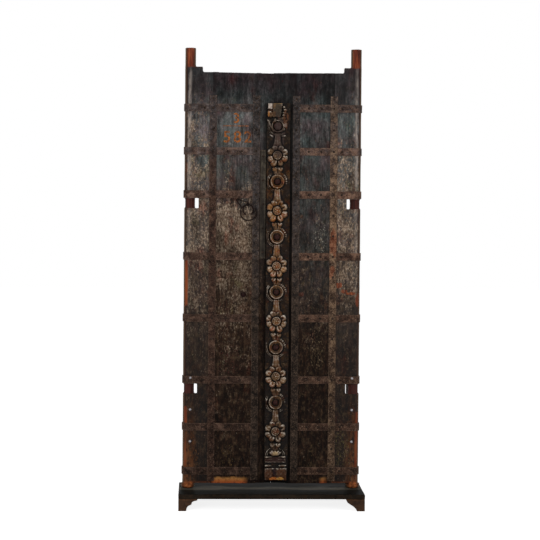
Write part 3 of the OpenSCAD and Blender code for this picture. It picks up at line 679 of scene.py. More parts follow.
plank_finish(
    "right_meeting_paint",
    soot=((0.1, 1.0), (0.9, 1.0), (1.4, 0.85), (2.0, 0.7)),
    paint=((0.9, 0.0), (1.4, 0.45), (1.8, 0.8), (2.0, 0.9)),
    bare=((0.1, 0.14), (1.2, 0.16), (2.0, 0.12)),
    light=((0.1, 1.0), (1.5, 1.1), (1.88, 1.2), (1.96, 0.8)),
    shade=(0.084, 0.108), shift=3.0,
    flecks=(((0.041, 2.048), (0.006, 0.03), (120, 52, 36), 1.0),))

# %% [markdown]
# The pivot stiles wear the same paint, but their round outer posts have been rubbed by
# shoulders and carts. The edge is down to raw orange-red wood in long patches, and the
# pivots above and below, which turned in sockets, are bare terracotta. High up a painted
# highlight runs pale along the front of the post. Its outermost edge is painted near black
# as a dark reflection, and the sides of the pivots are darkened as painted shade.

# %% Finish: pivot stiles
NOTCH_LEVELS = (1.447, 0.5575)


def stile_finish(name, wear_and_reflection, marks=(), **layers):
    spot = new_finish(name)
    colour, rough, raised, grain, up = timber_layers(spot, 0.6, (170, 156, 160), **layers)
    streak = grain["Streak"]
    outward = reckon("ABSOLUTE", axis(spot, "X")) + (streak - 0.5) * 0.014
    # painted highlight: a pale ragged streak high up along the front of the round post
    painted_highlight = (spread(outward, 0.389, 0.400) * spread(outward, 0.410, 0.405)
             * spread(axis(spot, "Y"), 0.020, 0.008)
             * shares(up, (0.9, 0.0), (1.45, 0.35), (1.55, 0.85), (1.93, 0.8), (2.05, 0.3), (2.09, 0.1))
             * spread(noise(spot, 60, 5, 0.75, z=0.25), 0.4, 0.58, 0.1, 1.0))
    colour = mix(painted_highlight, colour, (178, 164, 154))
    # painted dark reflection: the outermost edge of the round post is painted near black
    colour = mix(spread(outward, 0.409, 0.414, 0.0, 0.9), colour,
                 ramp(streak, (0.35, 14, 9, 8), (0.6, 44, 18, 14)))
    chosen = spread(noise(spot, 9, 4, 0.65, z=0.3) + shares(up, *wear_and_reflection), 0.84, 1.02)
    red_wood = ramp(streak, (0.3, 70, 26, 14), (0.5, 124, 54, 30), (0.72, 176, 96, 52))
    colour = mix(spread(outward, 0.402, 0.410) * chosen, colour, red_wood)
    scraped = rise(spot, 0.5, 0.2, 0.3) * spread(outward, 0.352, 0.4)
    torn = spread(noise(spot, 46, 6, 0.75, z=0.4), 0.42, 0.6)
    colour = mix(scraped * (torn * 0.8), colour, (128, 78, 44))
    for middle, size in marks:
        colour = mix(patch_at(spot, middle, size, 0.9) * 0.7, colour, red_wood)
    high, low = rise(spot, 2.094, 2.102, 0.012), rise(spot, 0.116, 0.108, 0.006)
    clay = ramp(noise(spot, 70, 5, 0.6, z=0.12), (0.3, 48, 20, 13), (0.5, 112, 50, 31),
                (0.7, 170, 92, 54))
    clay = mix(low * 0.7, clay,
               ramp(noise(spot, 60, 5, 0.7), (0.38, 56, 32, 20), (0.6, 196, 118, 66)))
    # painted shade: the round pivots are darkened along both their sides
    clay = mix(spread(outward, 0.411, 0.424, 0.0, 0.85), clay, (40, 20, 14))
    clay = mix(spread(outward, 0.384, 0.374, 0.0, 0.75), clay, (46, 22, 15))
    colour = raw_back(spot, mix(reckon("MAXIMUM", high, low), colour, clay))
    # the neck left in each notch is bare and dark red
    for middle in NOTCH_LEVELS:
        level = reckon("ABSOLUTE", axis(spot, "Z") - middle)
        inside = spread(level, 0.0245, 0.0225) * spread(outward, 0.366, 0.368)
        colour = mix(inside, colour, ramp(streak, (0.3, 30, 14, 12), (0.65, 78, 38, 31)))
    surface(colour, rough, raised, bump=0.35, depth=0.001, shine=0.12)


stile_finish(
    "left_stile_paint",
    soot=((0.1, 1.0), (0.6, 0.95), (1.0, 0.6), (2.0, 0.5)),
    paint=((0.6, 0.0), (1.1, 0.2), (1.5, 0.7), (1.8, 1.0)),
    bare=((0.1, 0.2), (0.65, 0.3), (1.0, 0.5), (1.35, 0.6), (1.6, 0.56), (1.75, 0.5), (2.0, 0.3)),
    light=((0.1, 0.8), (0.9, 0.84), (1.15, 1.25), (1.5, 1.4), (1.85, 1.8), (1.96, 1.2)),
    wear_and_reflection=((0.12, 0.3), (0.17, 0.4), (0.36, 0.36), (0.39, 0.3), (0.41, 0.78), (0.45, 0.78),
            (0.475, 0.1), (0.9, 0.1), (0.95, 0.46), (1.15, 0.46), (1.2, 0.12), (1.5, 0.12),
            (1.55, 0.42), (1.64, 0.42), (1.7, 0.15), (2.1, 0.25)),
    shift=4.0, flecks=(((-0.375, 0.24), (0.03, 0.08), (140, 92, 46), 0.7),
                       ((-0.36, 0.8), (0.03, 0.14), (100, 94, 66), 0.3)))
stile_finish(
    "right_stile_paint",
    soot=((0.1, 1.0), (0.7, 0.95), (1.0, 0.7), (2.0, 0.4)),
    paint=((0.6, 0.0), (1.1, 0.3), (1.5, 0.8), (1.8, 1.0)),
    bare=((0.1, 0.34), (0.3, 0.3), (0.5, 0.2), (0.8, 0.26), (1.0, 0.5), (1.4, 0.62), (1.6, 0.56),
          (1.9, 0.3)),
    light=((0.1, 1.1), (0.55, 0.9), (0.9, 1.0), (1.15, 1.5), (1.65, 1.45), (1.88, 1.5), (1.96, 1.0)),
    wear_and_reflection=((0.12, 0.42), (0.2, 0.5), (0.22, 0.8), (0.45, 0.8), (0.48, 0.12), (1.2, 0.1),
            (2.0, 0.15)),
    shift=5.0, marks=(((0.322, 1.058), (0.014, 0.014)), ((0.345, 1.028), (0.016, 0.008)),
                      ((0.377, 1.018), (0.028, 0.007)), ((0.411, 0.99), (0.009, 0.03))),
    flecks=(((0.34, 0.27), (0.04, 0.1), (126, 116, 66), 0.8),
            ((0.385, 0.42), (0.015, 0.08), (140, 80, 50), 0.6),
            ((0.35, 1.2), (0.04, 0.2), (150, 128, 84), 0.45)))

# %% [markdown]
# The straps are hand-forged iron gone to a soft brown rust, mottled with darker scale and a
# few pale scrapes, and rubbed brighter along their edges. Iron under rust is no mirror, so
# the metal is only allowed through where the rust is thin.

# %% Finish: forged iron
def iron_finish(name, dark, middle, light, wear=0.5, size=1.0, gleam=0.15, low=0.6, paint=0.0,
                specks=0.35, marks=(), lifts=((1.0, 1.0),), painted=(1.42, 1.9)):
    spot = new_finish(name)
    rust = effect(rust_group, spot, Size=size)
    edges = effect(edge_group, spot, Amount=wear)
    tone = rust["Blotch"] * 0.5 + rust["Speckle"] * 0.5
    colour = ramp(tone, (0.4, *dark), (0.49, *middle), (0.58, *light))
    if paint:
        # the slate paint of the leaves still covers the upper irons
        grey = ramp(noise(spot, 70, 6, 0.75), (0.32, 30, 29, 29), (0.5, 71, 67, 68),
                    (0.68, 122, 114, 112))
        torn = spread(noise(spot, 30, 6, 0.7), 0.36, 0.56, 1.0, 0.55)
        colour = mix(rise(spot, *painted, 0.3) * torn * paint, colour, grey)
    colour = lightened(colour, axis(spot, "Z") / TALL, lifts)
    drab = spread(rise(spot, 0.3, 1.3, 0.3), 0.0, 1.0, 1.0 - low, 0.0)
    colour = mix(drab, colour, (110, 96, 86), "MULTIPLY")
    cloud = spread(noise(spot, 20, 5, 0.65), 0.34, 0.58, 0.7, 0.0)
    colour = mix(cloud, colour, (110, 100, 94), "MULTIPLY")
    grit = spread(noise(spot, 190 * size, 6, 0.75), 0.55, 0.66)
    colour = mix(grit * specks, colour, (176, 146, 122))
    for where, extent in marks:
        colour = mix(patch_at(spot, where, extent, 0.9) * 0.4, colour,
                     ramp(tone, (0.4, 96, 40, 22), (0.6, 164, 84, 50)))
    colour = mix(edges["Hollow"], colour, (16, 12, 10))
    colour = mix(edges["Worn"], colour, (128, 104, 90))
    colour = dusted(spot, colour, 0.25, (96, 84, 74))
    surface(colour, spread(rust["Speckle"], 0.3, 0.7, 0.5, 0.76), rust["Height"], bump=0.45,
            depth=0.0006, metal=spread(tone, 0.36, 0.6, gleam, 0.0), shine=0.06)


iron_finish("left_strap_rust", (26, 18, 15), (66, 48, 40), (116, 90, 76), paint=0.9,
            lifts=((0.8, 1.0), (1.2, 1.2), (1.7, 1.45), (1.9, 1.0)))
iron_finish("right_strap_rust", (28, 19, 16), (72, 52, 43), (128, 98, 80), paint=0.6, specks=0.5,
            lifts=((0.8, 1.0), (1.2, 1.3), (1.7, 1.6), (1.9, 1.1)))
iron_finish("upright_strap_rust", (22, 14, 12), (60, 41, 34), (106, 80, 66), paint=1.0,
            painted=(1.5, 1.8))
iron_finish("speckled_strap_rust", (30, 22, 18), (76, 58, 46), (138, 112, 88), paint=0.6,
            specks=0.75, lifts=((0.6, 1.0), (1.1, 1.4), (1.7, 1.4), (1.95, 1.0)),
            marks=(((0.291, 1.26), (0.02, 0.065)), ((0.286, 1.12), (0.012, 0.03))))
iron_finish("inner_strap_rust", (18, 14, 12), (46, 38, 33), (88, 73, 62), paint=0.95,
            painted=(0.9, 1.6), lifts=((1.0, 1.0), (1.3, 1.0), (1.8, 0.75)))
iron_finish("nail_rust", (10, 8, 7), (26, 20, 18), (64, 50, 43), wear=0.1, size=2.5, gleam=0.1)
iron_finish("ring_rust", (9, 6, 6), (22, 13, 13), (42, 26, 23), wear=0.0, size=2.0, gleam=0.2,
            low=0.0, specks=0.1)
iron_finish("wire_rust", (12, 8, 8), (28, 19, 18), (52, 36, 32), wear=0.0, size=3.0, gleam=0.2,
            low=0.0, specks=0.1)


def steel_finish(name, shade, roughness):
    scuff = noise(new_finish(name), 900, 3, 0.6)
    shaded = (*(value * 0.7 for value in shade[:3]), 1)
    rough = spread(scuff, 0.3, 0.7, roughness * 0.8, roughness * 1.3)
    surface(steps_of(scuff, ((0.35, shaded), (0.6, shade))), rough, scuff, bump=0.12,
            depth=0.0002, metal=1.0)


steel_finish("bright_steel", srgb(140, 136, 138), 0.36)
steel_finish("plain_steel", srgb(150, 150, 150), 0.4)

# %% [markdown]
# The carved bar was cut from one length of hardwood and oiled. Its high parts are pale, partly
# worn to bone and partly a painted highlight, the slopes are golden brown, and the hollows are
# near black, partly with grease and partly as painted shade. How proud a point is comes from
# its Y coordinate, since the carving faces straight forward. The mesh itself carries three
# attributes for the finish: crease, chip and dome.

# %% Finish: carved wood
def carried(name):
    return flow("ShaderNodeAttribute", {"attribute_name": name}, "Fac")


# worn orange wood on the rolled leaf, brown splinters beside the head, bare corners at the foot
carved_marks = (((-0.024, 1.876), (0.004, 0.014), (200, 132, 66)),
                ((0.058, 1.85), (0.013, 0.055), (104, 66, 44)),
                ((0.025, 1.894), (0.024, 0.034), (58, 56, 49)),
                ((0.025, 1.76), (0.03, 0.09), (74, 60, 56)),
                ((0.02, 1.926), (0.026, 0.003), (190, 150, 96)),
                ((-0.012, 0.152), (0.024, 0.034), (84, 50, 31)),
                ((0.053, 0.152), (0.028, 0.034), (80, 47, 28)),
                ((0.0165, 0.158), (0.009, 0.03), (44, 22, 24)),
                ((0.02, 0.222), (0.05, 0.015), (60, 38, 34)),
                ((0.02, 0.253), (0.014, 0.008), (206, 176, 130)),
                ((0.011, 0.131), (0.017, 0.008), (230, 136, 66)),
                ((0.047, 0.131), (0.019, 0.008), (222, 160, 80)))
BAR_GROUND_Y, BAR_CROWN_Y = -0.020, -0.048

spot = new_finish("carved_wood")
grain = effect(grain_group, spot, Fineness=1.3)
proud = spread(axis(spot, "Y"), BAR_GROUND_Y, BAR_CROWN_Y)
crease = carried("crease")
mottle = noise(spot, 110, 6, 0.72)
rub = noise(spot, 38, 5, 0.7)
# colour by how proud a point is: dark down on the ground and pale on the tops, partly the wood's own
# grease and wear and partly painted shade and highlight
colour = ramp(proud * 0.62 + (mottle * 0.36 + noise(spot, 34, 4, 0.6, 0.4) * 0.2),
              (0.26, 18, 14, 12), (0.42, 38, 29, 23), (0.62, 90, 69, 50), (0.78, 130, 106, 80),
              (0.92, 186, 164, 136))
# the ground between the forms is stained brown in clouds
stain = spread(noise(spot, 24, 6, 0.7, 0.3), 0.5, 0.64, 0.0, 0.6)
colour = mix(stain * spread(proud, 0.1, 0.3, 1.0, 0.0), colour,
             ramp(mottle, (0.36, 34, 27, 21), (0.6, 92, 74, 54)))
# ochre and red lie over the wood in patches, the ochre most in the upper middle
golden = rise(spot, 1.70, 1.58, 0.08) * rise(spot, 0.3, 1.3, 0.1)
ochre = spread(noise(spot, 26, 5, 0.7), 0.4, 0.6) * spread(golden, 0.0, 1.0, 0.3, 1.0)
colour = mix(ochre, colour, (255, 210, 136), "MULTIPLY")
colour = times(colour, spread(golden, 0.0, 1.0, 1.0, 1.9))
redder = spread(noise(spot, 32, 5, 0.7, 0.5), 0.5, 0.62, 0.0, 0.9)
colour = mix(redder, colour, (250, 184, 168), "MULTIPLY")
# painted highlight, with some wear from hands: the crests are painted palest on their upper slopes, as
# if lit from above
highlight_and_wear = (spread(crease, 0.54, 0.7) * spread(rub, 0.42, 0.56)
        * spread(facing_up(), -0.15, 0.45, 0.1, 1.0))
colour = mix(highlight_and_wear * 0.9, colour, ramp(mottle, (0.36, 140, 118, 94), (0.56, 246, 234, 218)))
grimy = noise(spot, 170, 6, 0.78)
colour = mix(spread(grimy, 0.4, 0.52, 0.45, 0.0), colour, (110, 96, 88), "MULTIPLY")
colour = mix(carried("dome"), colour, ramp(mottle, (0.35, 28, 13, 12), (0.62, 66, 38, 34)))
colour = mix(carried("chip"), colour, ramp(rub, (0.35, 160, 140, 124), (0.6, 232, 218, 206)))
for middle, size, tone in carved_marks:
    shaded = mix(spread(mottle, 0.3, 0.56, 0.2, 1.0), srgb(30, 20, 15), tone)
    colour = mix(patch_at(spot, middle, size, 0.7) * 0.75, colour, shaded)
# painted shade in the creases, darkened near black, together with the grease that lies there
colour = mix(spread(crease, 0.42, 0.24), colour, (11, 8, 7))
colour = mix(spread(grain["Pore"], 0.34, 0.5, 0.35, 0.0), colour, (26, 19, 14), "MULTIPLY")
colour = dusted(spot, colour, 0.15, (120, 106, 86))
surface(colour, spread(mottle, 0.3, 0.7, 0.36, 0.6), grimy, bump=0.4, depth=0.0007, shine=0.08)


# %% Finish: studs, lath, ledges and stand
def small_wood_finish(name, dark, middle, light, fineness=1.0, wear=0.6, dusty=0.7):
    spot = new_finish(name)
    grain = effect(grain_group, spot, Fineness=fineness)
    colour = ramp(grain["Streak"] * 0.6 + noise(spot, 40, 5, 0.65) * 0.4, (0.36, *dark),
                  (0.5, *middle), (0.64, *light))
    colour = mix(effect(edge_group, spot, Amount=wear)["Worn"], colour, (168, 140, 108))
    colour = dusted(spot, colour, dusty, (128, 117, 102))
    surface(colour, spread(grain["Pore"], 0.3, 0.7, 0.5, 0.75), grain["Height"], bump=0.4,
            depth=0.0008)


small_wood_finish("red_stud_wood", (40, 20, 17), (82, 47, 40), (124, 86, 74), wear=0.1, dusty=0.3)
small_wood_finish("lath_wood", (24, 20, 17), (56, 50, 43), (108, 98, 84), fineness=0.8, wear=0.2)
small_wood_finish("stud_wood", (18, 7, 6), (38, 17, 15), (72, 40, 34), wear=0.0, dusty=0.2)
small_wood_finish("ledge_wood", (48, 36, 27), (88, 68, 50), (128, 104, 80))


def stand_finish(name, tones, brown, roughness, worn, shine=0.02, wear_and_reflection=0.0):
    spot = new_finish(name)
    cloud = noise(stretched(spot, (0.25, 1, 1)), 22, 5, 0.6)
    colour = ramp(cloud, *[(where, *tone) for where, tone in zip((0.35, 0.52, 0.7), tones)])
    # painted reflection: the top is paler along its middle, in a long wavering band
    wave = (noise(stretched(spot, (0.2, 0.6, 1)), 14, 4, 0.6) - 0.5) * 0.16
    from_front = axis(spot, "Y") + wave
    band = (spread(from_front, -0.04, -0.008) * spread(from_front, 0.045, 0.012)
            * spread(axis(spot, "Z"), 0.0775, 0.0785))
    colour = mix(band * wear_and_reflection, colour, (104, 98, 86))
    # brown shows through the black on the front and ends, below the top face
    rub = noise(stretched(spot, (0.2, 1, 1)), 40, 5, 0.7)
    below = spread(axis(spot, "Z"), 0.0785, 0.074)
    colour = mix(below * spread(rub, 0.4, 0.62, 0.25, 0.95), colour, brown)
    colour = mix(effect(edge_group, spot, Amount=worn)["Worn"], colour, (120, 84, 58))
    surface(colour, spread(cloud, 0.3, 0.7, roughness * 0.85, roughness * 1.2), rub, bump=0.15,
            depth=0.0006, shine=shine)


stand_tones = ((12, 13, 12), (22, 22, 20), (38, 36, 31))
stand_finish("stand_black", stand_tones, (44, 37, 30), 0.5, worn=0.25, shine=0.008, wear_and_reflection=0.8)
stand_finish("upright_black", stand_tones, (24, 22, 20), 0.42, worn=0.3)
stand_finish("foot_brown", ((28, 20, 16), (48, 34, 27), (76, 54, 40)), (68, 48, 35), 0.42,
             worn=0.7, shine=0.06)
print("finishes:", len(bpy.data.materials))

# %% [markdown]
# A plank could be a cube, but a cube has no faces to weather. It is started as a fine grid,
# thickened by a Solidify modifier, trimmed along its top and its worn foot with a bisect, and
# its edges are rounded as old boards are. Two Displace passes, one fine and one broad, then
# open the grain. Both only sink the surface, so that the straps still lie on top of it.

# %% Planks
pivot_tall, foot_wear, foot_hollow = 0.032, 0.008, 0.0055
leaf_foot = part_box("left_pivot_stile")[0].z + pivot_tall
worn_foot = leaf_foot - foot_wear
leaf_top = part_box("left_wide_plank")[1].z
half_door = -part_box("left_pivot_stile")[0].x
top_drop = {"left": 0.004, "right": 0.002}
PLANK_CELL, LATH_CELL = (0.0035, 0.012), (0.004, 0.01)


def weathered(piece, shift, fine=0.0009, broad=0.0009):
    roughen(piece, fine, 0.0045, stretch=(1, 1, 16), mid=1.0, shift=shift)
    roughen(piece, broad, 0.022, stretch=(1, 1, 7), mid=1.0, shift=shift + 3)
    return smooth(piece, 38)


def slab(name, low, high, cell):
    # an upright board: low and high are its corners
    wide, tall = high.x - low.x, high.z - low.z
    middle = ((low.x + high.x) / 2, low.y, (low.z + high.z) / 2)
    piece = sheet(name, middle, wide, tall, round(wide / cell[0]), round(tall / cell[1]))
    return finish_with(piece, "SOLIDIFY", thickness=high.y - low.y, offset=-1)


def plank(node, shift, past):
    # past: how far its sides reach past the construction's, so that no light shows between
    low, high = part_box(node)
    low.z = worn_foot
    piece = slab(f"{node}_worn", low - Vector((past, 0, 0)), high + Vector((past, 0, 0)),
                 PLANK_CELL)
    side, leaf = (1, "right") if low.x + high.x > 0 else (-1, "left")
    joint, drop = abs(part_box(leaf + "_wide_plank")[0 if side < 0 else 1].x), top_drop[leaf]
    edit(piece)
    # the top slopes down outwards; below, the leaves are worn hollow where they meet, as both
    # have dragged on the sill
    for at, way in (((side * joint, 0, leaf_top), (-side * drop, 0, joint)),
                    ((side * 0.01, 0, leaf_foot - foot_hollow), (-side * 0.0022, 0, -0.1))):
        select_whole()
        bpy.ops.mesh.bisect(plane_co=at, plane_no=way, use_fill=True, clear_outer=True)
    done(piece)
    return weathered(eased(piece, 0.0022, 60), shift)


for node, finish, shift, past in (("left_wide_plank", "left_plank_paint", 1.3, 0.003),
                                  ("left_meeting_stile", "left_meeting_paint", 2.1, 0.0024),
                                  ("right_wide_plank", "right_plank_paint", 5.7, 0.003),
                                  ("right_meeting_stile", "right_meeting_paint", 7.9, 0.0024)):
    place(plank(node, shift, past), finish, "plank_wood", node)

# %% [markdown]
# The pivot stile, with its round post, notches, shoulder and pivots, is already right in the
# construction. To soften it like old timber, a merged copy is remeshed in small voxels,
# which rounds every arris by a few millimetres and leaves even faces for the weathering.

# %% Pivot stiles
STILE_VOXEL, SWOLLEN = 0.0042, 1.3
# the mouth of each notch lies at this X; the upper windows are wider than the lower ones
NOTCH_MOUTH, NECK_THICKER, WINDOW_WIDE = 0.3755, (0.004, 0.006), (0.0155, 0.012)
for side, sign, shift in (("left", -1, 11.3), ("right", 1, 14.9)):
    node = f"{side}_pivot_stile"
    stile = finer(node, f"{node}_worn", STILE_VOXEL)
    edit(stile, "VERT")
    pick(stile, lambda spot, normal: leaf_foot - 0.004 < spot.z < leaf_foot + 0.003)
    bpy.ops.transform.translate(value=(0, 0, worn_foot - leaf_foot))
    # the lower pivot has swollen and worn round, like a bulb
    pick(stile, lambda spot, normal: spot.z < worn_foot - 0.001)
    low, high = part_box(node)
    radius = (high.y - low.y) / 2
    bpy.ops.transform.resize(value=(SWOLLEN, SWOLLEN, 1), center_override=(
        sign * (half_door - radius), low.y + radius, 0.09))
    done(stile)
    for level, moved, wide in zip(NOTCH_LEVELS, NECK_THICKER, WINDOW_WIDE):
        # what is left of the post beside each notch is a little thicker than drawn, and the
        # window cut through keeps its crisp sides
        edit(stile, "VERT")
        pick(stile, lambda spot, normal: (0.3715 < abs(spot.x) < 0.379
                                          and abs(spot.z - level) < 0.0285))
        bpy.ops.transform.translate(value=(-sign * moved, 0, 0))
        done(stile)
        cutter = block("window", (sign * (NOTCH_MOUTH - moved - wide / 2), 0.02, level),
                       (wide, 0.09, 0.046))
        finish_with(stile, "BOOLEAN", object=cutter, operation="DIFFERENCE", solver="EXACT")
        bpy.data.objects.remove(cutter)
    weathered(stile, shift, fine=0.0008, broad=0.0012)
    place(stile, f"{side}_stile_paint", "stile_wood", node)

# %% [markdown]
# A level strap is one long bar, laid flat over the planks and hammered round the post. It is
# drawn once for each leaf as a flat grid; the edge at the post is spun about the post's axis,
# the sheet is thickened, and its arrises are eased. Each strap is then a copy, with its own
# unevenness, since its place in the cloud pattern is its own.

# %% Level straps
strap_low, strap_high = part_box("right_strap_1")
strap_width = strap_high.z - strap_low.z
iron = -strap_low.y
post_radius, wrapped_to = 0.027, 0.046
post_axis = Vector((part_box("right_pivot_stile")[1].x - post_radius, post_radius, 0))
wrap_end = math.asin((wrapped_to - post_radius) / (post_radius + iron))
IRON_CELL = 0.006


def wrapped_strap(name, inner_end):
    length = post_axis.x - inner_end
    piece = sheet(name, (inner_end + length / 2, 0, 0), length, strap_width,
                  round(length / IRON_CELL), round(strap_width / IRON_CELL))
    edit(piece, "EDGE")
    pick(piece, lambda middle, way: middle.x > post_axis.x - 0.0001 and abs(way.x) < 0.0001, "EDGE")
    bpy.ops.mesh.spin(steps=22, angle=-(math.pi / 2 + wrap_end), center=post_axis, axis=(0, 0, 1))
    merge_all(0.00005)
    done(piece)
    front = [face for face in piece.data.polygons if face.center.x < post_axis.x - 0.01]
    if front[0].normal.y > 0:
        turn_faces(piece)
    finish_with(piece, "SOLIDIFY", thickness=iron - 0.0001, offset=1)
    return eased(piece, 0.0007, 50)


patterns = {"right": wrapped_strap("right_pattern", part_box("right_strap_1")[0].x)}
left_pattern = wrapped_strap("left_pattern", -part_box("left_strap_1")[1].x)
patterns["left"] = mirrored(left_pattern, "left_pattern_turned")
bpy.data.objects.remove(left_pattern)
for side, pattern in patterns.items():
    for number in range(1, 9):
        node = f"{side}_strap_{number}"
        low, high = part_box(node)
        strap = copied(pattern, f"{node}_forged", (0, 0, (low.z + high.z) / 2))
        shift = number * 1.7 + (20 if side == "left" else 0)
        roughen(strap, 0.0016, 0.045, direction="Z", shift=shift)
        roughen(strap, 0.0009, 0.02, mid=0.35, shift=shift + 5)
        place(smooth(strap, 45), f"{side}_strap_rust", "strap_iron", node)
    bpy.data.objects.remove(pattern)
level_straps_z = [sum(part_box(f"right_strap_{n}")[k].z for k in (0, 1)) / 2 for n in range(1, 9)]

# %% [markdown]
# An upright strap covers each plank joint and climbs over every level strap. It is a long
# grid, whose rows at each crossing are pulled forward by the thickness of the iron.

# %% Upright straps
for where, finish, shift in (("left_outer", "upright_strap_rust", 40),
                             ("left_inner", "inner_strap_rust", 40 + 3.1),
                             ("right_outer", "speckled_strap_rust", 40 + 2 * 3.1),
                             ("right_inner", "inner_strap_rust", 40 + 3 * 3.1)):
    node = f"{where}_upright_strap"
    low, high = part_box(node)
    strap = sheet(f"{node}_forged", ((low.x + high.x) / 2, 0, (low.z + high.z) / 2),
                  high.x - low.x, high.z - low.z, 6, round((high.z - low.z) / IRON_CELL))
    edit(strap, "VERT")
    for over in level_straps_z:
        pick(strap, lambda spot, normal: abs(spot.z - over) < strap_width / 2 + 0.004)
        bpy.ops.transform.translate(value=(0, -iron, 0))
    done(strap)
    finish_with(strap, "SOLIDIFY", thickness=iron, offset=1)
    eased(strap, 0.0007, 60)
    roughen(strap, 0.0018, 0.05, direction="X", shift=shift)
    roughen(strap, 0.0008, 0.018, mid=0.35, shift=shift + 5)
    place(smooth(strap, 45), finish, "strap_iron", node)

# %% [markdown]
# Each nail was forged by hand, so its head is a low lumpy dome with a few hammer flats. One
# head is made from a coarse ball, cut flat at its seat and squashed, and copied to every
# nail of the construction, each turned and sized a little differently.

# %% Nails
def islands(node):
    # the box of each separate solid of a construction piece
    mesh = bmesh.new()
    mesh.from_mesh(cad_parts[node].data)
    bmesh.ops.remove_doubles(mesh, verts=mesh.verts, dist=0.00001)
    seen, boxes = set(), []
    for vert in mesh.verts:
        if vert.index in seen:
            continue
        group, queue = [], [vert]
        seen.add(vert.index)
        while queue:
            here = queue.pop()
            group.append(here.co)
            for edge in here.link_edges:
                other = edge.other_vert(here)
                if other.index not in seen:
                    seen.add(other.index)
                    queue.append(other)
        boxes.append([Vector([end(co[k] for co in group) for k in range(3)]) for end in (min, max)])
    mesh.free()
    return boxes


def nail_head():
    clear_selection()
    bpy.ops.mesh.primitive_ico_sphere_add(subdivisions=2, radius=1)
    piece = settled("nail_pattern")
    edit(piece)
    select_whole()
    bpy.ops.mesh.bisect(plane_co=(0, 0.05, 0), plane_no=(0, 1, 0), use_fill=True, clear_outer=True)
    pick(piece, lambda middle, normal: normal.y < -0.9, "FACE")
    bpy.ops.transform.resize(value=(1.25, 1, 1.25))
    bpy.ops.transform.translate(value=(0.05, 0.12, -0.04))
    return done(piece)


random.seed(7)
nail_rise, nail_seat = 0.0042, 0.004
for node in ("left_nails", "right_nails", "carved_bar_nails"):
    pattern = nail_head()
    heads = []
    for low, high in islands(node):
        size = (high.x - low.x) / 2
        tall = nail_rise * random.uniform(0.75, 1.0)
        head = copied(pattern, "nail")
        turn = Matrix.Rotation(random.uniform(0, 6.28), 4, "Y")
        grow = Matrix.Diagonal((size * random.uniform(0.8, 1.0), tall,
                                size * random.uniform(0.8, 1.0), 1))
        seat = Matrix.Translation(((low.x + high.x) / 2, low.y + nail_seat, (low.z + high.z) / 2))
        head.data.transform(seat @ grow @ turn)
        heads.append(head)
    bpy.data.objects.remove(pattern)
    place(smooth(joined(f"{node}_forged", heads), 55), "nail_rust", "nail_iron", node)

# %% [markdown]
# Across the back of each leaf, four heavy ledges hold the planks together. A cube is enough
# to start from: its two long arrises are bevelled as a plane would, it is cut across for
# faces to weather, and the displacement does the rest. The cover lath in front of the left
# leaf is a thin slab.

# %% Ledges and lath
ledge_chamfer, ledge_slices = 0.006, 26
for side in ("left", "right"):
    for number in range(1, 5):
        node = f"{side}_ledge_{number}"
        low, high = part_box(node)
        ledge = block(f"{node}_worn", (low + high) / 2, high - low)
        edit(ledge, "EDGE")
        pick(ledge, lambda middle, way: middle.y > high.y - 0.0001 and abs(way.x) > 0.1, "EDGE")
        bpy.ops.mesh.bevel(offset=ledge_chamfer, segments=1)
        select_whole()
        bpy.ops.mesh.subdivide(number_cuts=3)
        slice_across(low, high, (1, 0, 0), ledge_slices)
        done(ledge)
        eased(ledge, 0.0012, 30)
        roughen(ledge, 0.0012, 0.02, stretch=(8, 1, 1), mid=0.9, shift=number * 2.3 + len(side))
        place(smooth(ledge, 38), "ledge_wood", "ledge_wood", node)

lath = eased(slab("left_cover_lath_worn", *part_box("left_cover_lath"), LATH_CELL), 0.001, 60)
roughen(lath, 0.0022, 0.03, direction="X", shift=3)
weathered(lath, 19.0, fine=0.0006, broad=0.0006)
place(lath, "lath_wood", "lath_wood", "left_cover_lath")

# %% [markdown]
# The two wooden studs and the iron one are turned shapes. A cylinder is stood in the board
# and its front face is inset and pushed in steps: out for the rim, in for a ring groove, out
# again for the domed middle.

# %% Studs
def turned_stud(name, node, steps, faces):
    # steps: how far the face is inset, as a share of the radius, and its share of the rise
    low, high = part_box(node)
    radius = (high.x - low.x) / 2
    middle = (low + high) / 2
    base_y = min(high.y, 0.004)
    tall = base_y - low.y
    level = steps[0][1]
    start = base_y - tall * level
    clear_selection()
    bpy.ops.mesh.primitive_cylinder_add(
        vertices=faces, radius=radius * 0.96, depth=base_y - start,
        location=(middle.x, (base_y + start) / 2, middle.z), rotation=UPRIGHT)
    piece = settled(name)
    edit(piece)
    pick(piece, lambda spot, normal: normal.y < -0.9, "FACE")
    for inset, share in steps[1:]:
        bpy.ops.mesh.inset(thickness=radius * inset)
        bpy.ops.transform.translate(value=(0, -(share - level) * tall, 0))
        level = share
    done(piece)
    return smooth(eased(piece, radius * 0.04, 35), 50)


wooden_steps = ((0, 0.45), (0.06, 0.72), (0.12, 0.8), (0.1, 0.55), (0.14, 0.85), (0.2, 0.97))
iron_steps = ((0, 0.3), (0.08, 0.5), (0.2, 0.8), (0.3, 0.97))
for node, made, steps, faces, finish, slot in (
        ("left_wooden_stud", "turned", wooden_steps, 32, "stud_wood", "stud_wood"),
        ("right_wooden_stud", "turned", wooden_steps, 32, "red_stud_wood", "stud_wood"),
        ("right_iron_stud", "forged", iron_steps, 18, "left_strap_rust", "stud_iron")):
    place(turned_stud(f"{node}_{made}", node, steps, faces), finish, slot, node)

# %% [markdown]
# The ring pull is a bar of round iron bent into an open ring, with a small knob hammered on
# its end: one circle is spun about the ring's middle. The wire loop wound on it, the staple
# and the wire hooked on the staple are merged copies, remeshed to soften their joins, and
# the two wires are swollen a little.

# %% Ring pull
RING_VOXEL, SMALL_VOXEL = 0.0006, 0.0005
eye_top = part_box("ring_staple")[1].z
ring_iron, ring_radius = 0.0033, 0.025
ring_centre = Vector((-0.118, -0.0095, eye_top - 0.0072 - ring_radius))
starts, turns, knob_at = (math.radians(degrees) for degrees in (-60, 295, 235))

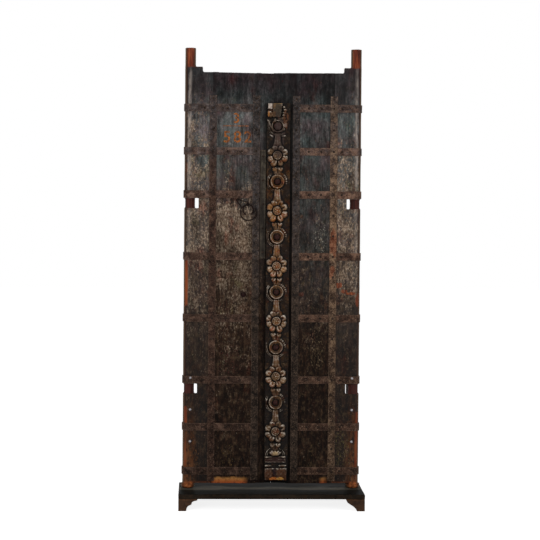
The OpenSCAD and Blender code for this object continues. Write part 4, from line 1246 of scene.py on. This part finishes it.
clear_selection()
bpy.ops.mesh.primitive_circle_add(
    vertices=14, radius=ring_iron, fill_type="NGON", rotation=(0, -starts, 0),
    location=ring_centre + Vector((ring_radius * math.cos(starts), 0,
                                   ring_radius * math.sin(starts))))
ring_bar = settled("ring_bar")
edit(ring_bar)
select_whole()
bpy.ops.mesh.duplicate()
bpy.ops.mesh.spin(steps=60, angle=turns, center=ring_centre, axis=(0, 1, 0))
merge_all(0.00002)
done(ring_bar)
clear_selection()
bpy.ops.mesh.primitive_uv_sphere_add(
    segments=20, ring_count=12, radius=ring_iron * 1.72,
    location=ring_centre + ring_radius * Vector((math.cos(knob_at), 0, math.sin(knob_at))))
ring = joined("ring_pull_forged", [ring_bar, settled("ring_knob")])
finish_with(ring, "REMESH", mode="VOXEL", voxel_size=RING_VOXEL)
roughen(ring, 0.0005, 0.006, mid=0.8, shift=2)
place(smooth(ring, 60), "ring_rust", "ring_iron", "ring_pull", body="ring")

for node, made, voxel, swollen, cloud, shift, finish, slot, body in (
        ("wire_loop", "drawn", RING_VOXEL, 0.0013, 0.008, 4, "wire_rust", "iron_wire", "ring"),
        ("ring_staple", "forged", SMALL_VOXEL, 0, 0.006, 6, "ring_rust", "ring_iron", "door"),
        ("tie_wire", "bent", SMALL_VOXEL, 0.0009, 0.006, 6, "wire_rust", "iron_wire", "door")):
    piece = finer(node, f"{node}_{made}", voxel)
    if swollen:
        finish_with(piece, "DISPLACE", strength=swollen, mid_level=0.0)
    roughen(piece, 0.0003, cloud, mid=0.8, shift=shift)
    place(smooth(piece, 60), finish, slot, node, body=body)

# %% [markdown]
# The stand is a thick black board on two bracket feet. The board is a cube with eased edges
# and a few cross cuts, given a very slight wave so that its satin top catches the light
# unevenly. Each foot starts as a cube cut level by level; the inner side of every level is
# then moved to the ogee's outline, stepped on the left foot and fuller on the right.

# %% Stand
low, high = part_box("stand_board")
board = eased(block("stand_board_painted", (low + high) / 2, high - low), 0.0032, 60, 3)
edit(board)
slice_across(low, high, (1, 0, 0), 70)
slice_across(low, high, (0, 1, 0), 24)
done(board)
roughen(board, 0.0007, 0.09, stretch=(2.5, 1, 1), mid=1.0, shift=1)
roughen(board, 0.0006, 0.012, mid=1.0, shift=3)
place(smooth(board, 45), "stand_black", "stand_black", "stand_board")


def bracket_foot(node, side, outline):
    # outline: share of the height, and how far the inner side lies from the outer face
    low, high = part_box(node)
    inner, outer = (low.x, high.x) if side > 0 else (high.x, low.x)
    tall = high.z - low.z
    piece = block(f"{node}_shaped", (low + high) / 2, high - low)
    edit(piece)
    for share, reach in outline[1:-1]:
        select_whole()
        bpy.ops.mesh.bisect(plane_co=(0, 0, low.z + share * tall), plane_no=(0, 0, 1))
    bpy.ops.mesh.select_mode(type="VERT")
    for share, reach in outline:
        level = low.z + share * tall
        pick(piece, lambda spot, normal: abs(spot.z - level) < 0.0002 and abs(spot.x - outer) > 0.02)
        bpy.ops.transform.translate(value=(side * (abs(inner - outer) - reach), 0, 0))
    done(piece)
    return smooth(eased(piece, 0.0018, 35, 3), 35)


foot_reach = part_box("stand_foot_right")[1].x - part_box("stand_foot_right")[0].x
stepped = ((0, 0.037), (0.16, 0.0385), (0.3, 0.041), (0.42, 0.046), (0.5, 0.0545), (0.56, 0.062),
           (0.6, 0.0625), (0.72, 0.0635), (0.8, 0.069), (0.86, 0.078), (0.9, foot_reach - 0.001),
           (1, foot_reach))
fuller = ((0, 0.037), (0.12, 0.0395), (0.26, 0.0455), (0.4, 0.054), (0.52, 0.064), (0.62, 0.073),
          (0.7, 0.0795), (0.77, 0.0835), (0.84, 0.0855), (0.92, 0.0865), (1, foot_reach))
for node, side, outline in (("stand_foot_left", -1, stepped), ("stand_foot_right", 1, fuller)):
    place(bracket_foot(node, side, outline), "foot_brown", "foot_brown", node)

# %% [markdown]
# Behind each outer stile stands a black upright, a plain post with eased edges. The bolts,
# nuts and screws are plain hardware that the construction already draws in full, so they
# only get their metal.

# %% Uprights and hardware
further_in = 0.007
for side in ("left", "right"):
    low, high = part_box(f"upright_{side}")
    if side == "right":
        # it stands a little further in and darkens the lower window
        low.x -= further_in
    post = eased(block(f"upright_{side}_painted", (low + high) / 2, high - low), 0.0018, 60)
    place(smooth(post, 35), "upright_black", "upright_black", f"upright_{side}")

for node, finish in (("stile_bolts", "bright_steel"), ("bolt_nuts", "bright_steel"),
                     ("foot_screws", "plain_steel"), ("upright_screws", "plain_steel")):
    give(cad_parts[node], finish)

# %% [markdown]
# The carved bar is one length of hardwood, cut about thirty millimetres deep into a row of
# six flowers and six bosses, with a leafy head and a lotus foot. It could be built of balls
# and rings, but a carver works the other way round: everything is cut down from the front.
# So a fine grid is laid on the ground of the bar and raised by a height for each point. Each
# carved form is a small function that gives its height in millimetres, and the highest form
# wins, as when a carver leaves the upper one standing.

# %% Carved forms
MM = 1000
bar_low, bar_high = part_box("carved_bar")
bar_middle = (bar_low.x + bar_high.x) / 2
first_flower, pitch, boss_rise = 236, 264.0, 139.0
flower_heights = [bar_low.z * MM + first_flower + pitch * k for k in range(6)]


def highest(*forms):
    result = forms[0]
    for form in forms[1:]:
        result = np.maximum(result, form)
    return result


def inside(value):
    return np.clip(value, 0, 1)


def knob(u, v, at, radii, top, fullness=0.5):
    # an oval hill
    away = ((u - at[0]) / radii[0]) ** 2 + ((v - at[1]) / radii[1]) ** 2
    return top * inside(1 - away) ** fullness


def turned(u, v, stops):
    # a round form given by (radius, height) from its middle outwards
    return np.interp(np.hypot(u, v), *zip(*stops))


def lobe(u, v, at, radius, top, eye):
    # a rounded petal end with shallow cuts round it and a small hollow
    away = np.hypot(u - at[0], v - at[1]) / radius
    body = top * inside(1 - away ** 2.6) ** 0.45
    dent = eye * inside(1 - (away / 0.4) ** 2) ** 0.7
    return np.where(away < 1, np.maximum(body + 1.1 * np.cos(away * 10.0) - dent, 0), 0)


def petal(u, v, angle, reach, length, width, top, dent):
    # a petal that points away from the middle, a little hollow and with a cut down its back
    a = math.radians(angle)
    along = u * math.cos(a) + v * math.sin(a) - reach
    aside = v * math.cos(a) - u * math.sin(a)
    away = np.hypot(along / length, aside / width)
    body = top * inside(1 - away ** 2.4) ** 0.5
    hollow = 2 * dent * inside(1 - np.hypot((along + 5) / (length * 0.7), aside / (width * 0.5)) ** 2)
    vein = 1.6 * np.exp(-(aside / 1.5) ** 2) * (along < length * 0.5) - 0.7 * np.cos(aside * 1.2)
    return np.where(away < 1, np.maximum(body - hollow - vein, 0), 0)


def sunk(height, u, v, at, radius, floor):
    # cuts a round hollow down to floor
    away = inside(np.hypot(u - at[0], v - at[1]) / radius)
    eased_down = np.minimum(height, floor + (np.maximum(height, floor) - floor) * away ** 4)
    return np.where(away < 1, eased_down, height)


def cut_to(height, where, floor):
    return np.where(where, np.minimum(height, floor), height)


def medallion(u, v):
    around, away = np.arctan2(v, u), np.hypot(u, v)
    rosette = 2.4 * np.cos(5 * around + 0.6) * inside(1 - np.abs(away - 9) / 6)
    body = turned(u, v, ((0, 20), (3, 22), (5, 17), (12, 20), (14.5, 15), (17, 20), (19, 20),
                         (20.5, 13), (21, 0)))
    return np.where(away < 21, body + rosette, 0)


# angle, reach, length, width, height and hollow of the eight petals
petals = ((25, 37, 18, 19, 23, 4), (-25, 37, 18, 19, 24, 1), (-68, 39, 19, 17, 25, 4),
          (-115, 40, 19, 17, 25, 3), (204, 37, 17, 18, 23, 1), (156, 37, 17, 19, 23, 2),
          (113, 37, 17, 17, 19, 2), (66, 38, 17, 17, 20, 3))
EVEN = 0.97  # the middle of what vary gives


def flower(u, v, vary):
    # vary gives each petal its own size, as no two were cut alike
    height = knob(u, v, (0, -2), (46, 48), 11, 0.4)
    half = np.interp(v, (-116, -98, -84, -70, -56), (13, 15, 19, 26, 26))
    tail = 13 * inside(1 - np.abs(u / half) ** 3) ** 0.5 + 1.4 * np.cos(u * 0.75) * (v < -80)
    height = highest(height, np.where((v < -60) & (v > -116) & (np.abs(u) < half), tail, 0))
    for angle, reach, length, width, top, dent in petals:
        height = highest(height, petal(u, v, angle + 40 * (vary() - EVEN), reach * vary() ** 0.3,
                                       length * vary(), width * vary() ** 0.5, top * vary(),
                                       dent * vary()))
    # two small leaves hang below the petals, with a cut between them
    for side in (-1, 1):
        height = highest(height, petal(u, v, -90 + side * 12, 68 * vary() ** 0.2, 13, 13 * vary(),
                                       21, 3))
        height = sunk(height, u, v, (side * 38, 1 + 8 * (vary() - EVEN)), 4, 5)
    height = cut_to(height, (np.abs(u - 1) < 1.6) & (v < -28) & (v > -84), 7)
    height = cut_to(height, (np.abs(v + 58) < 1.6) & (np.abs(u) < 30), 9)
    return highest(sunk(height, u, v, (0, 0), 22.7, 9), medallion(u, v))


def neck(u, v):
    # a bell that widens from the boss down to the shoulders of the flower
    half = np.interp(v, (34, 46, 58, 78, 104), (30, 24, 19, 16, 15))
    tall = np.interp(v, (30, 44, 54, 70, 104), (0, 12, 17, 19, 16))
    aside = inside(np.abs(u) / half)
    body = tall * inside(1 - aside ** 3) ** 0.5
    flutes = 1.2 * np.cos(u / half * 9.4) * inside(1 - aside) ** 0.3
    return np.where((aside < 1) & (v > 14) & (v < 106), np.maximum(body + flutes, 0), 0)


boss_stops = ((0, 29), (5, 28.5), (9, 26), (12.5, 20), (14.5, 10), (16, 10), (18, 13), (24, 13.5),
              (27, 15), (29, 20), (31, 20.5), (32.5, 15), (34, 4), (38, 2))
large_boss_stops = ((0, 28), (10, 27.5), (15, 25), (19, 19), (20.5, 9), (23, 9), (25, 15), (28, 14),
                    (31, 9), (34, 4), (38, 2))


def boss(u, v, stops, turn):
    # a dome in a ring, with turned arcs beside it and rays that fan out at its upper right
    around, away = np.arctan2(v, u), np.hypot(u, v)
    arcs = (8.5 + 3.5 * np.cos((away - 43) * 0.85)) * inside((52 - away) / 4) ** 0.5
    part = inside(1.8 * np.cos(around - turn + 3.14) + 0.2)
    rays = 12 + 1.6 * np.cos(around * 26) - 0.05 * away
    side = inside(2.4 * np.cos(around - turn) - 0.9) * inside((50 - away) / 5) ** 0.5
    return highest(np.where((away > 36) & (away < 52), arcs * part, 0),
                   np.where((away > 20) & (away < 50), rays * side, 0),
                   np.where(away < 37, turned(u, v, stops), 0))


def curl(u, v, side):
    # a small curled leaf beside the neck
    slant = (u - side * 29) * (-0.5 if side < 0 else 0.1)
    return knob(u, v - slant, (side * 29, 93), (10, 4), 11)


# %% [markdown]
# The head of the bar is a plain block with a rolled leaf at one side and splintered ends at
# the other; the foot is a fan bud and a lotus over two scrolls, with a block of facets
# below. These are written in millimetres from the top and from the bottom of the bar.

# %% Head and foot of the bar
def strip_away(u, down):
    # how far a point lies from the line of the slanting strip below the rolled leaf
    return np.abs((u + 46) * 0.88 - (down - 86) * 0.47)


def corner_chip(u, down):
    return (u > -47) & (u < -25) & (down < 27)


def bar_head(u, down, dice):
    # down is the distance below the top of the bar
    head = np.where((u > -23) & (u < 21 - 0.12 * down) & (down < 66), 21 - 0.1 * down, 0)
    pits = inside(np.cos(u * 0.9) * np.cos(down * 0.7 + u * 0.2) - 0.3)
    head = np.where(head > 0, head - 6 * pits * inside((u + down * 0.3 - 2) / 12), 0)
    strip = 12 * inside(1 - strip_away(u, down) / 7) ** 0.5
    height = highest(head, np.where(corner_chip(u, down), 19 - 0.12 * down, 0),
                     lobe(u, down, (-36, 53), 18, 20, eye=4), knob(u, down, (-30, 34), (18, 9), 13),
                     np.where((down > 80) & (down < 136), strip, 0),
                     knob(u, down, (-12, 84), (8, 13), 13), knob(u, down, (10, 80), (8, 12), 12))
    for step in range(9):
        at = (24 + 17 * dice.random(), 20 + 13 * step)
        height = highest(height, knob(u, down, at, (7 + 6 * dice.random(), 8), 8 + 11 * dice.random()))
    return height


def bar_foot(u, up):
    # up is the distance above the bottom of the bar
    away = np.hypot(u, (up - 114) * 1.05)
    arch = np.where((up > 114) & (away < 50), 5 + 3 * np.cos((away - 46) * 0.8), 0)
    arch = arch * inside((50 - away) / 4) ** 0.5 * (away > 34)
    bud = knob(u, up, (0, 131), (30, 17), 20) + 1.4 * np.cos(np.arctan2(up - 116, u) * 12) * (up > 121)
    band = np.where((np.abs(u) < 52) & (np.abs(up - 100) < 14), 9 + 1.5 * np.cos((up - 100) * 0.45), 0)
    height = highest(arch, np.where(up > 114, np.maximum(bud, 0), 0), band)
    for side in (-1, 1):
        height = highest(height, knob(u, up, (side * 40, 112), (15, 5), 16),
                         knob(u, up, (side * 48, 98), (5, 12), 13),
                         knob(u, up, (side * 36, 70), (20, 6), 15))
    height = sunk(height, u, up, (0, 104), 17, 5)
    height = cut_to(height, (np.abs(up - 80) < 4) & (np.abs(u) > 15), 1)
    end = np.where((np.abs(u) < 55) & (up > 1) & (up < 59), 15 - 0.12 * np.abs(up - 30), 0)
    middle = 8 * inside(1 - np.abs(u + 4) / 13) ** 0.5
    hacked = 1.2 * np.cos(u * 0.31 + np.cos(up * 0.4)) * np.cos(up * 0.27 + 1)
    return highest(height, np.where(end > 0, end - middle + hacked, 0))


# %% [markdown]
# The forms are now set on the grid. The rim of the grid is extruded back to the planks first,
# while it is still flat. The heights are blurred a little, as old oiled edges are soft. What
# stands above its surroundings and what lies below them is stored as an attribute called
# crease, and the pale chips and the dark domes as two more, for the finish to read.

# %% Carve the bar
def blurred(field, cells):
    # the mean of the cells around each point, first along the rows and then across them
    count = 2 * cells + 1
    for turn in range(2):
        padded = np.pad(field, ((cells, cells), (0, 0)), mode="edge")
        total = np.insert(np.cumsum(padded, axis=0), 0, 0, axis=0)
        field = ((total[count:] - total[:-count]) / count).T
    return field


def cloudy(shape, cells, dice):
    # smooth unevenness between -1 and 1
    field = blurred(blurred(dice.uniform(-1, 1, shape), cells), cells)
    return field / np.abs(field).max()


carve_cell = 0.0016
bar_width, bar_tall = bar_high.x - bar_low.x, bar_high.z - bar_low.z
columns, rows = round(bar_width / carve_cell), round(bar_tall / carve_cell)
bar = sheet("carved_bar_cut", (bar_middle, BAR_GROUND_Y, (bar_low.z + bar_high.z) / 2), bar_width,
            bar_tall, columns, rows)
edit(bar, "EDGE")
pick(bar, lambda middle, way: min(middle.x - bar_low.x, bar_high.x - middle.x, middle.z - bar_low.z,
                                  bar_high.z - middle.z) < 0.0001, "EDGE")
bpy.ops.mesh.extrude_edges_move(TRANSFORM_OT_translate={"value": (0, -BAR_GROUND_Y, 0)})
bpy.ops.mesh.edge_face_add()
select_whole()
bpy.ops.mesh.normals_make_consistent(inside=False)
done(bar)

places = np.empty(len(bar.data.vertices) * 3)
bar.data.vertices.foreach_get("co", places)
places = places.reshape(-1, 3)
front = np.where(places[:, 1] < BAR_GROUND_Y + 0.0001)[0]
order = front[np.lexsort((places[front, 0], places[front, 2]))]
shape = (rows + 1, columns + 1)
from_middle = ((places[order, 0] - bar_middle) * MM).reshape(shape)
height_up = (places[order, 2] * MM).reshape(shape)

dice = np.random.default_rng(12)
relief, domes, chips = (np.zeros(shape) for field in range(3))
# the carver's row of forms stands a little to the left of the bar's middle, and wavers
set_left, waver, deepest, proudest = 5.0, 2.6, -2.5, 33
u_all = from_middle + set_left + waver * cloudy(shape, 9, dice)
v_all = height_up + waver * cloudy(shape, 9, dice)
for number, centre in enumerate(flower_heights):
    band = np.where((height_up[:, 0] > centre - 122) & (height_up[:, 0] < centre + 196))[0]
    part = slice(band[0], band[-1] + 1)
    u, v = u_all[part], v_all[part] - centre
    top_one = number == 5
    lumps = highest(flower(u, v, lambda: dice.uniform(0.86, 1.08)), neck(u, v))
    curls = highest(curl(u, v, -1), curl(u, v, 1)) * top_one
    cleared = sunk(highest(lumps, curls), u, v, (0, boss_rise), 39, 2)
    stops, dome_radius = (large_boss_stops, 20) if top_one else (boss_stops, 14)
    lumps = highest(cleared, boss(u, v - boss_rise, stops, 0.75 + dice.uniform(-0.25, 0.25)))
    relief[part] = highest(relief[part], lumps)
    domes[part] = highest(domes[part], np.hypot(u, v - boss_rise) < dome_radius)
    chips[part] = highest(chips[part], 0.6 * (curls > 4))
down, up = bar_high.z * MM - v_all, v_all - bar_low.z * MM
relief = highest(relief, np.where(down < 150, bar_head(u_all, down, dice), 0))
foot = bar_foot(u_all, up)
relief = np.where(up < 150, highest(foot, np.where(up > 146, relief, 0)), highest(relief, foot))
chips = highest(chips, corner_chip(u_all, down),
                0.06 * ((strip_away(u_all, down) < 3) & (down > 82) & (down < 134)),
                0.8 * ((np.hypot(u_all - 37, down - 106) < 9) & (relief > 8)))
for centre in flower_heights:
    # a saw kerf shows in the ground above each flower
    relief = np.where((np.abs(v_all - centre - 65) < 1.8) & (relief < 1), -2.0, relief)
tool_marks = cloudy(shape, 2, dice) + 2.6 * cloudy(shape, 4, dice) * (relief > 3)
long_grain = 0.35 * dice.uniform(-1, 1, (1, shape[1]))
rim = inside((bar_width * MM / 2 - np.abs(from_middle)) / 2.5)
rim = rim * inside(np.minimum(down, up) / 2.5 + 0.02)
soft = 0.55 * relief + 0.45 * blurred(relief, 1)
carved = np.clip((soft + tool_marks - 0.8) * rim + long_grain * rim, deepest, proudest)
crease = np.minimum(inside(0.5 + (carved - blurred(carved, 5)) / 9),
                    inside(0.5 + (carved - blurred(carved, 2)) / 5 + 0.12))

places[order, 1] = BAR_GROUND_Y - carved.reshape(-1) / MM
bar.data.vertices.foreach_set("co", places.reshape(-1))
bar.data.update()
for name, field, elsewhere in (("crease", crease, 0.5), ("chip", chips, 0.0), ("dome", domes, 0.0)):
    values = np.full(len(bar.data.vertices), elsewhere)
    values[order] = field.reshape(-1)
    bar.data.attributes.new(name, "FLOAT", "POINT").data.foreach_set("value", values)
place(smooth(bar, 60), "carved_wood", "carved_wood", "carved_bar")
print("carving stands proud by", round(float(carved.max()), 1), "mm")

# %% [markdown]
# Someone numbered the left leaf long ago with a stencil and orange paint. The figures here are
# plain ones of about the same size and colour, not the ones on the real door. They are set as
# text, turned into a mesh, and lie a hair in front of the plank. The paint has worn down to
# the grain, so it is let through in flakes by its alpha.

# %% Stencilled figures
CAPITAL = 0.7  # how tall a figure is, as a share of the size of its type


def figures(name, words, middle, tall):
    clear_selection()
    bpy.ops.object.text_add(location=(0, 0, 0))
    text = bpy.context.object.data
    text.body = words
    text.align_x = "CENTER"
    text.align_y = "CENTER"
    text.size = tall / CAPITAL
    text.space_character = 1.3
    text.offset = 0.001
    bpy.ops.object.convert(target="MESH")
    piece = bpy.context.object
    piece.location = middle
    piece.rotation_euler = UPRIGHT
    return settled(name)


spot = new_finish("figure_paint")
streak = effect(grain_group, spot)["Streak"]
colour = ramp(noise(spot, 60, 5, 0.7), (0.38, 120, 74, 44), (0.6, 196, 116, 58))
kept = noise(spot, 170, 6, 0.75, z=0.5) * 0.6 + streak * 0.4
surface(colour, 0.7, shine=0.05, alpha=spread(kept, 0.42, 0.52, 0.1, 0.9))

paint_y = -0.0004
upper = figures("upper_figure", "3", (-0.177, paint_y, 1.853), 0.047)
lower = figures("lower_figures", "582", (-0.172, paint_y, 1.763), 0.054)
clear_selection()
bpy.ops.mesh.primitive_plane_add(size=1, location=(-0.174, paint_y, 1.818), rotation=UPRIGHT)
stencil = joined("stencilled_figures", [upper, lower, settled("figure_rule", (0.132, 0.0035, 1))])
give(stencil, "figure_paint")
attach(stencil, "door")
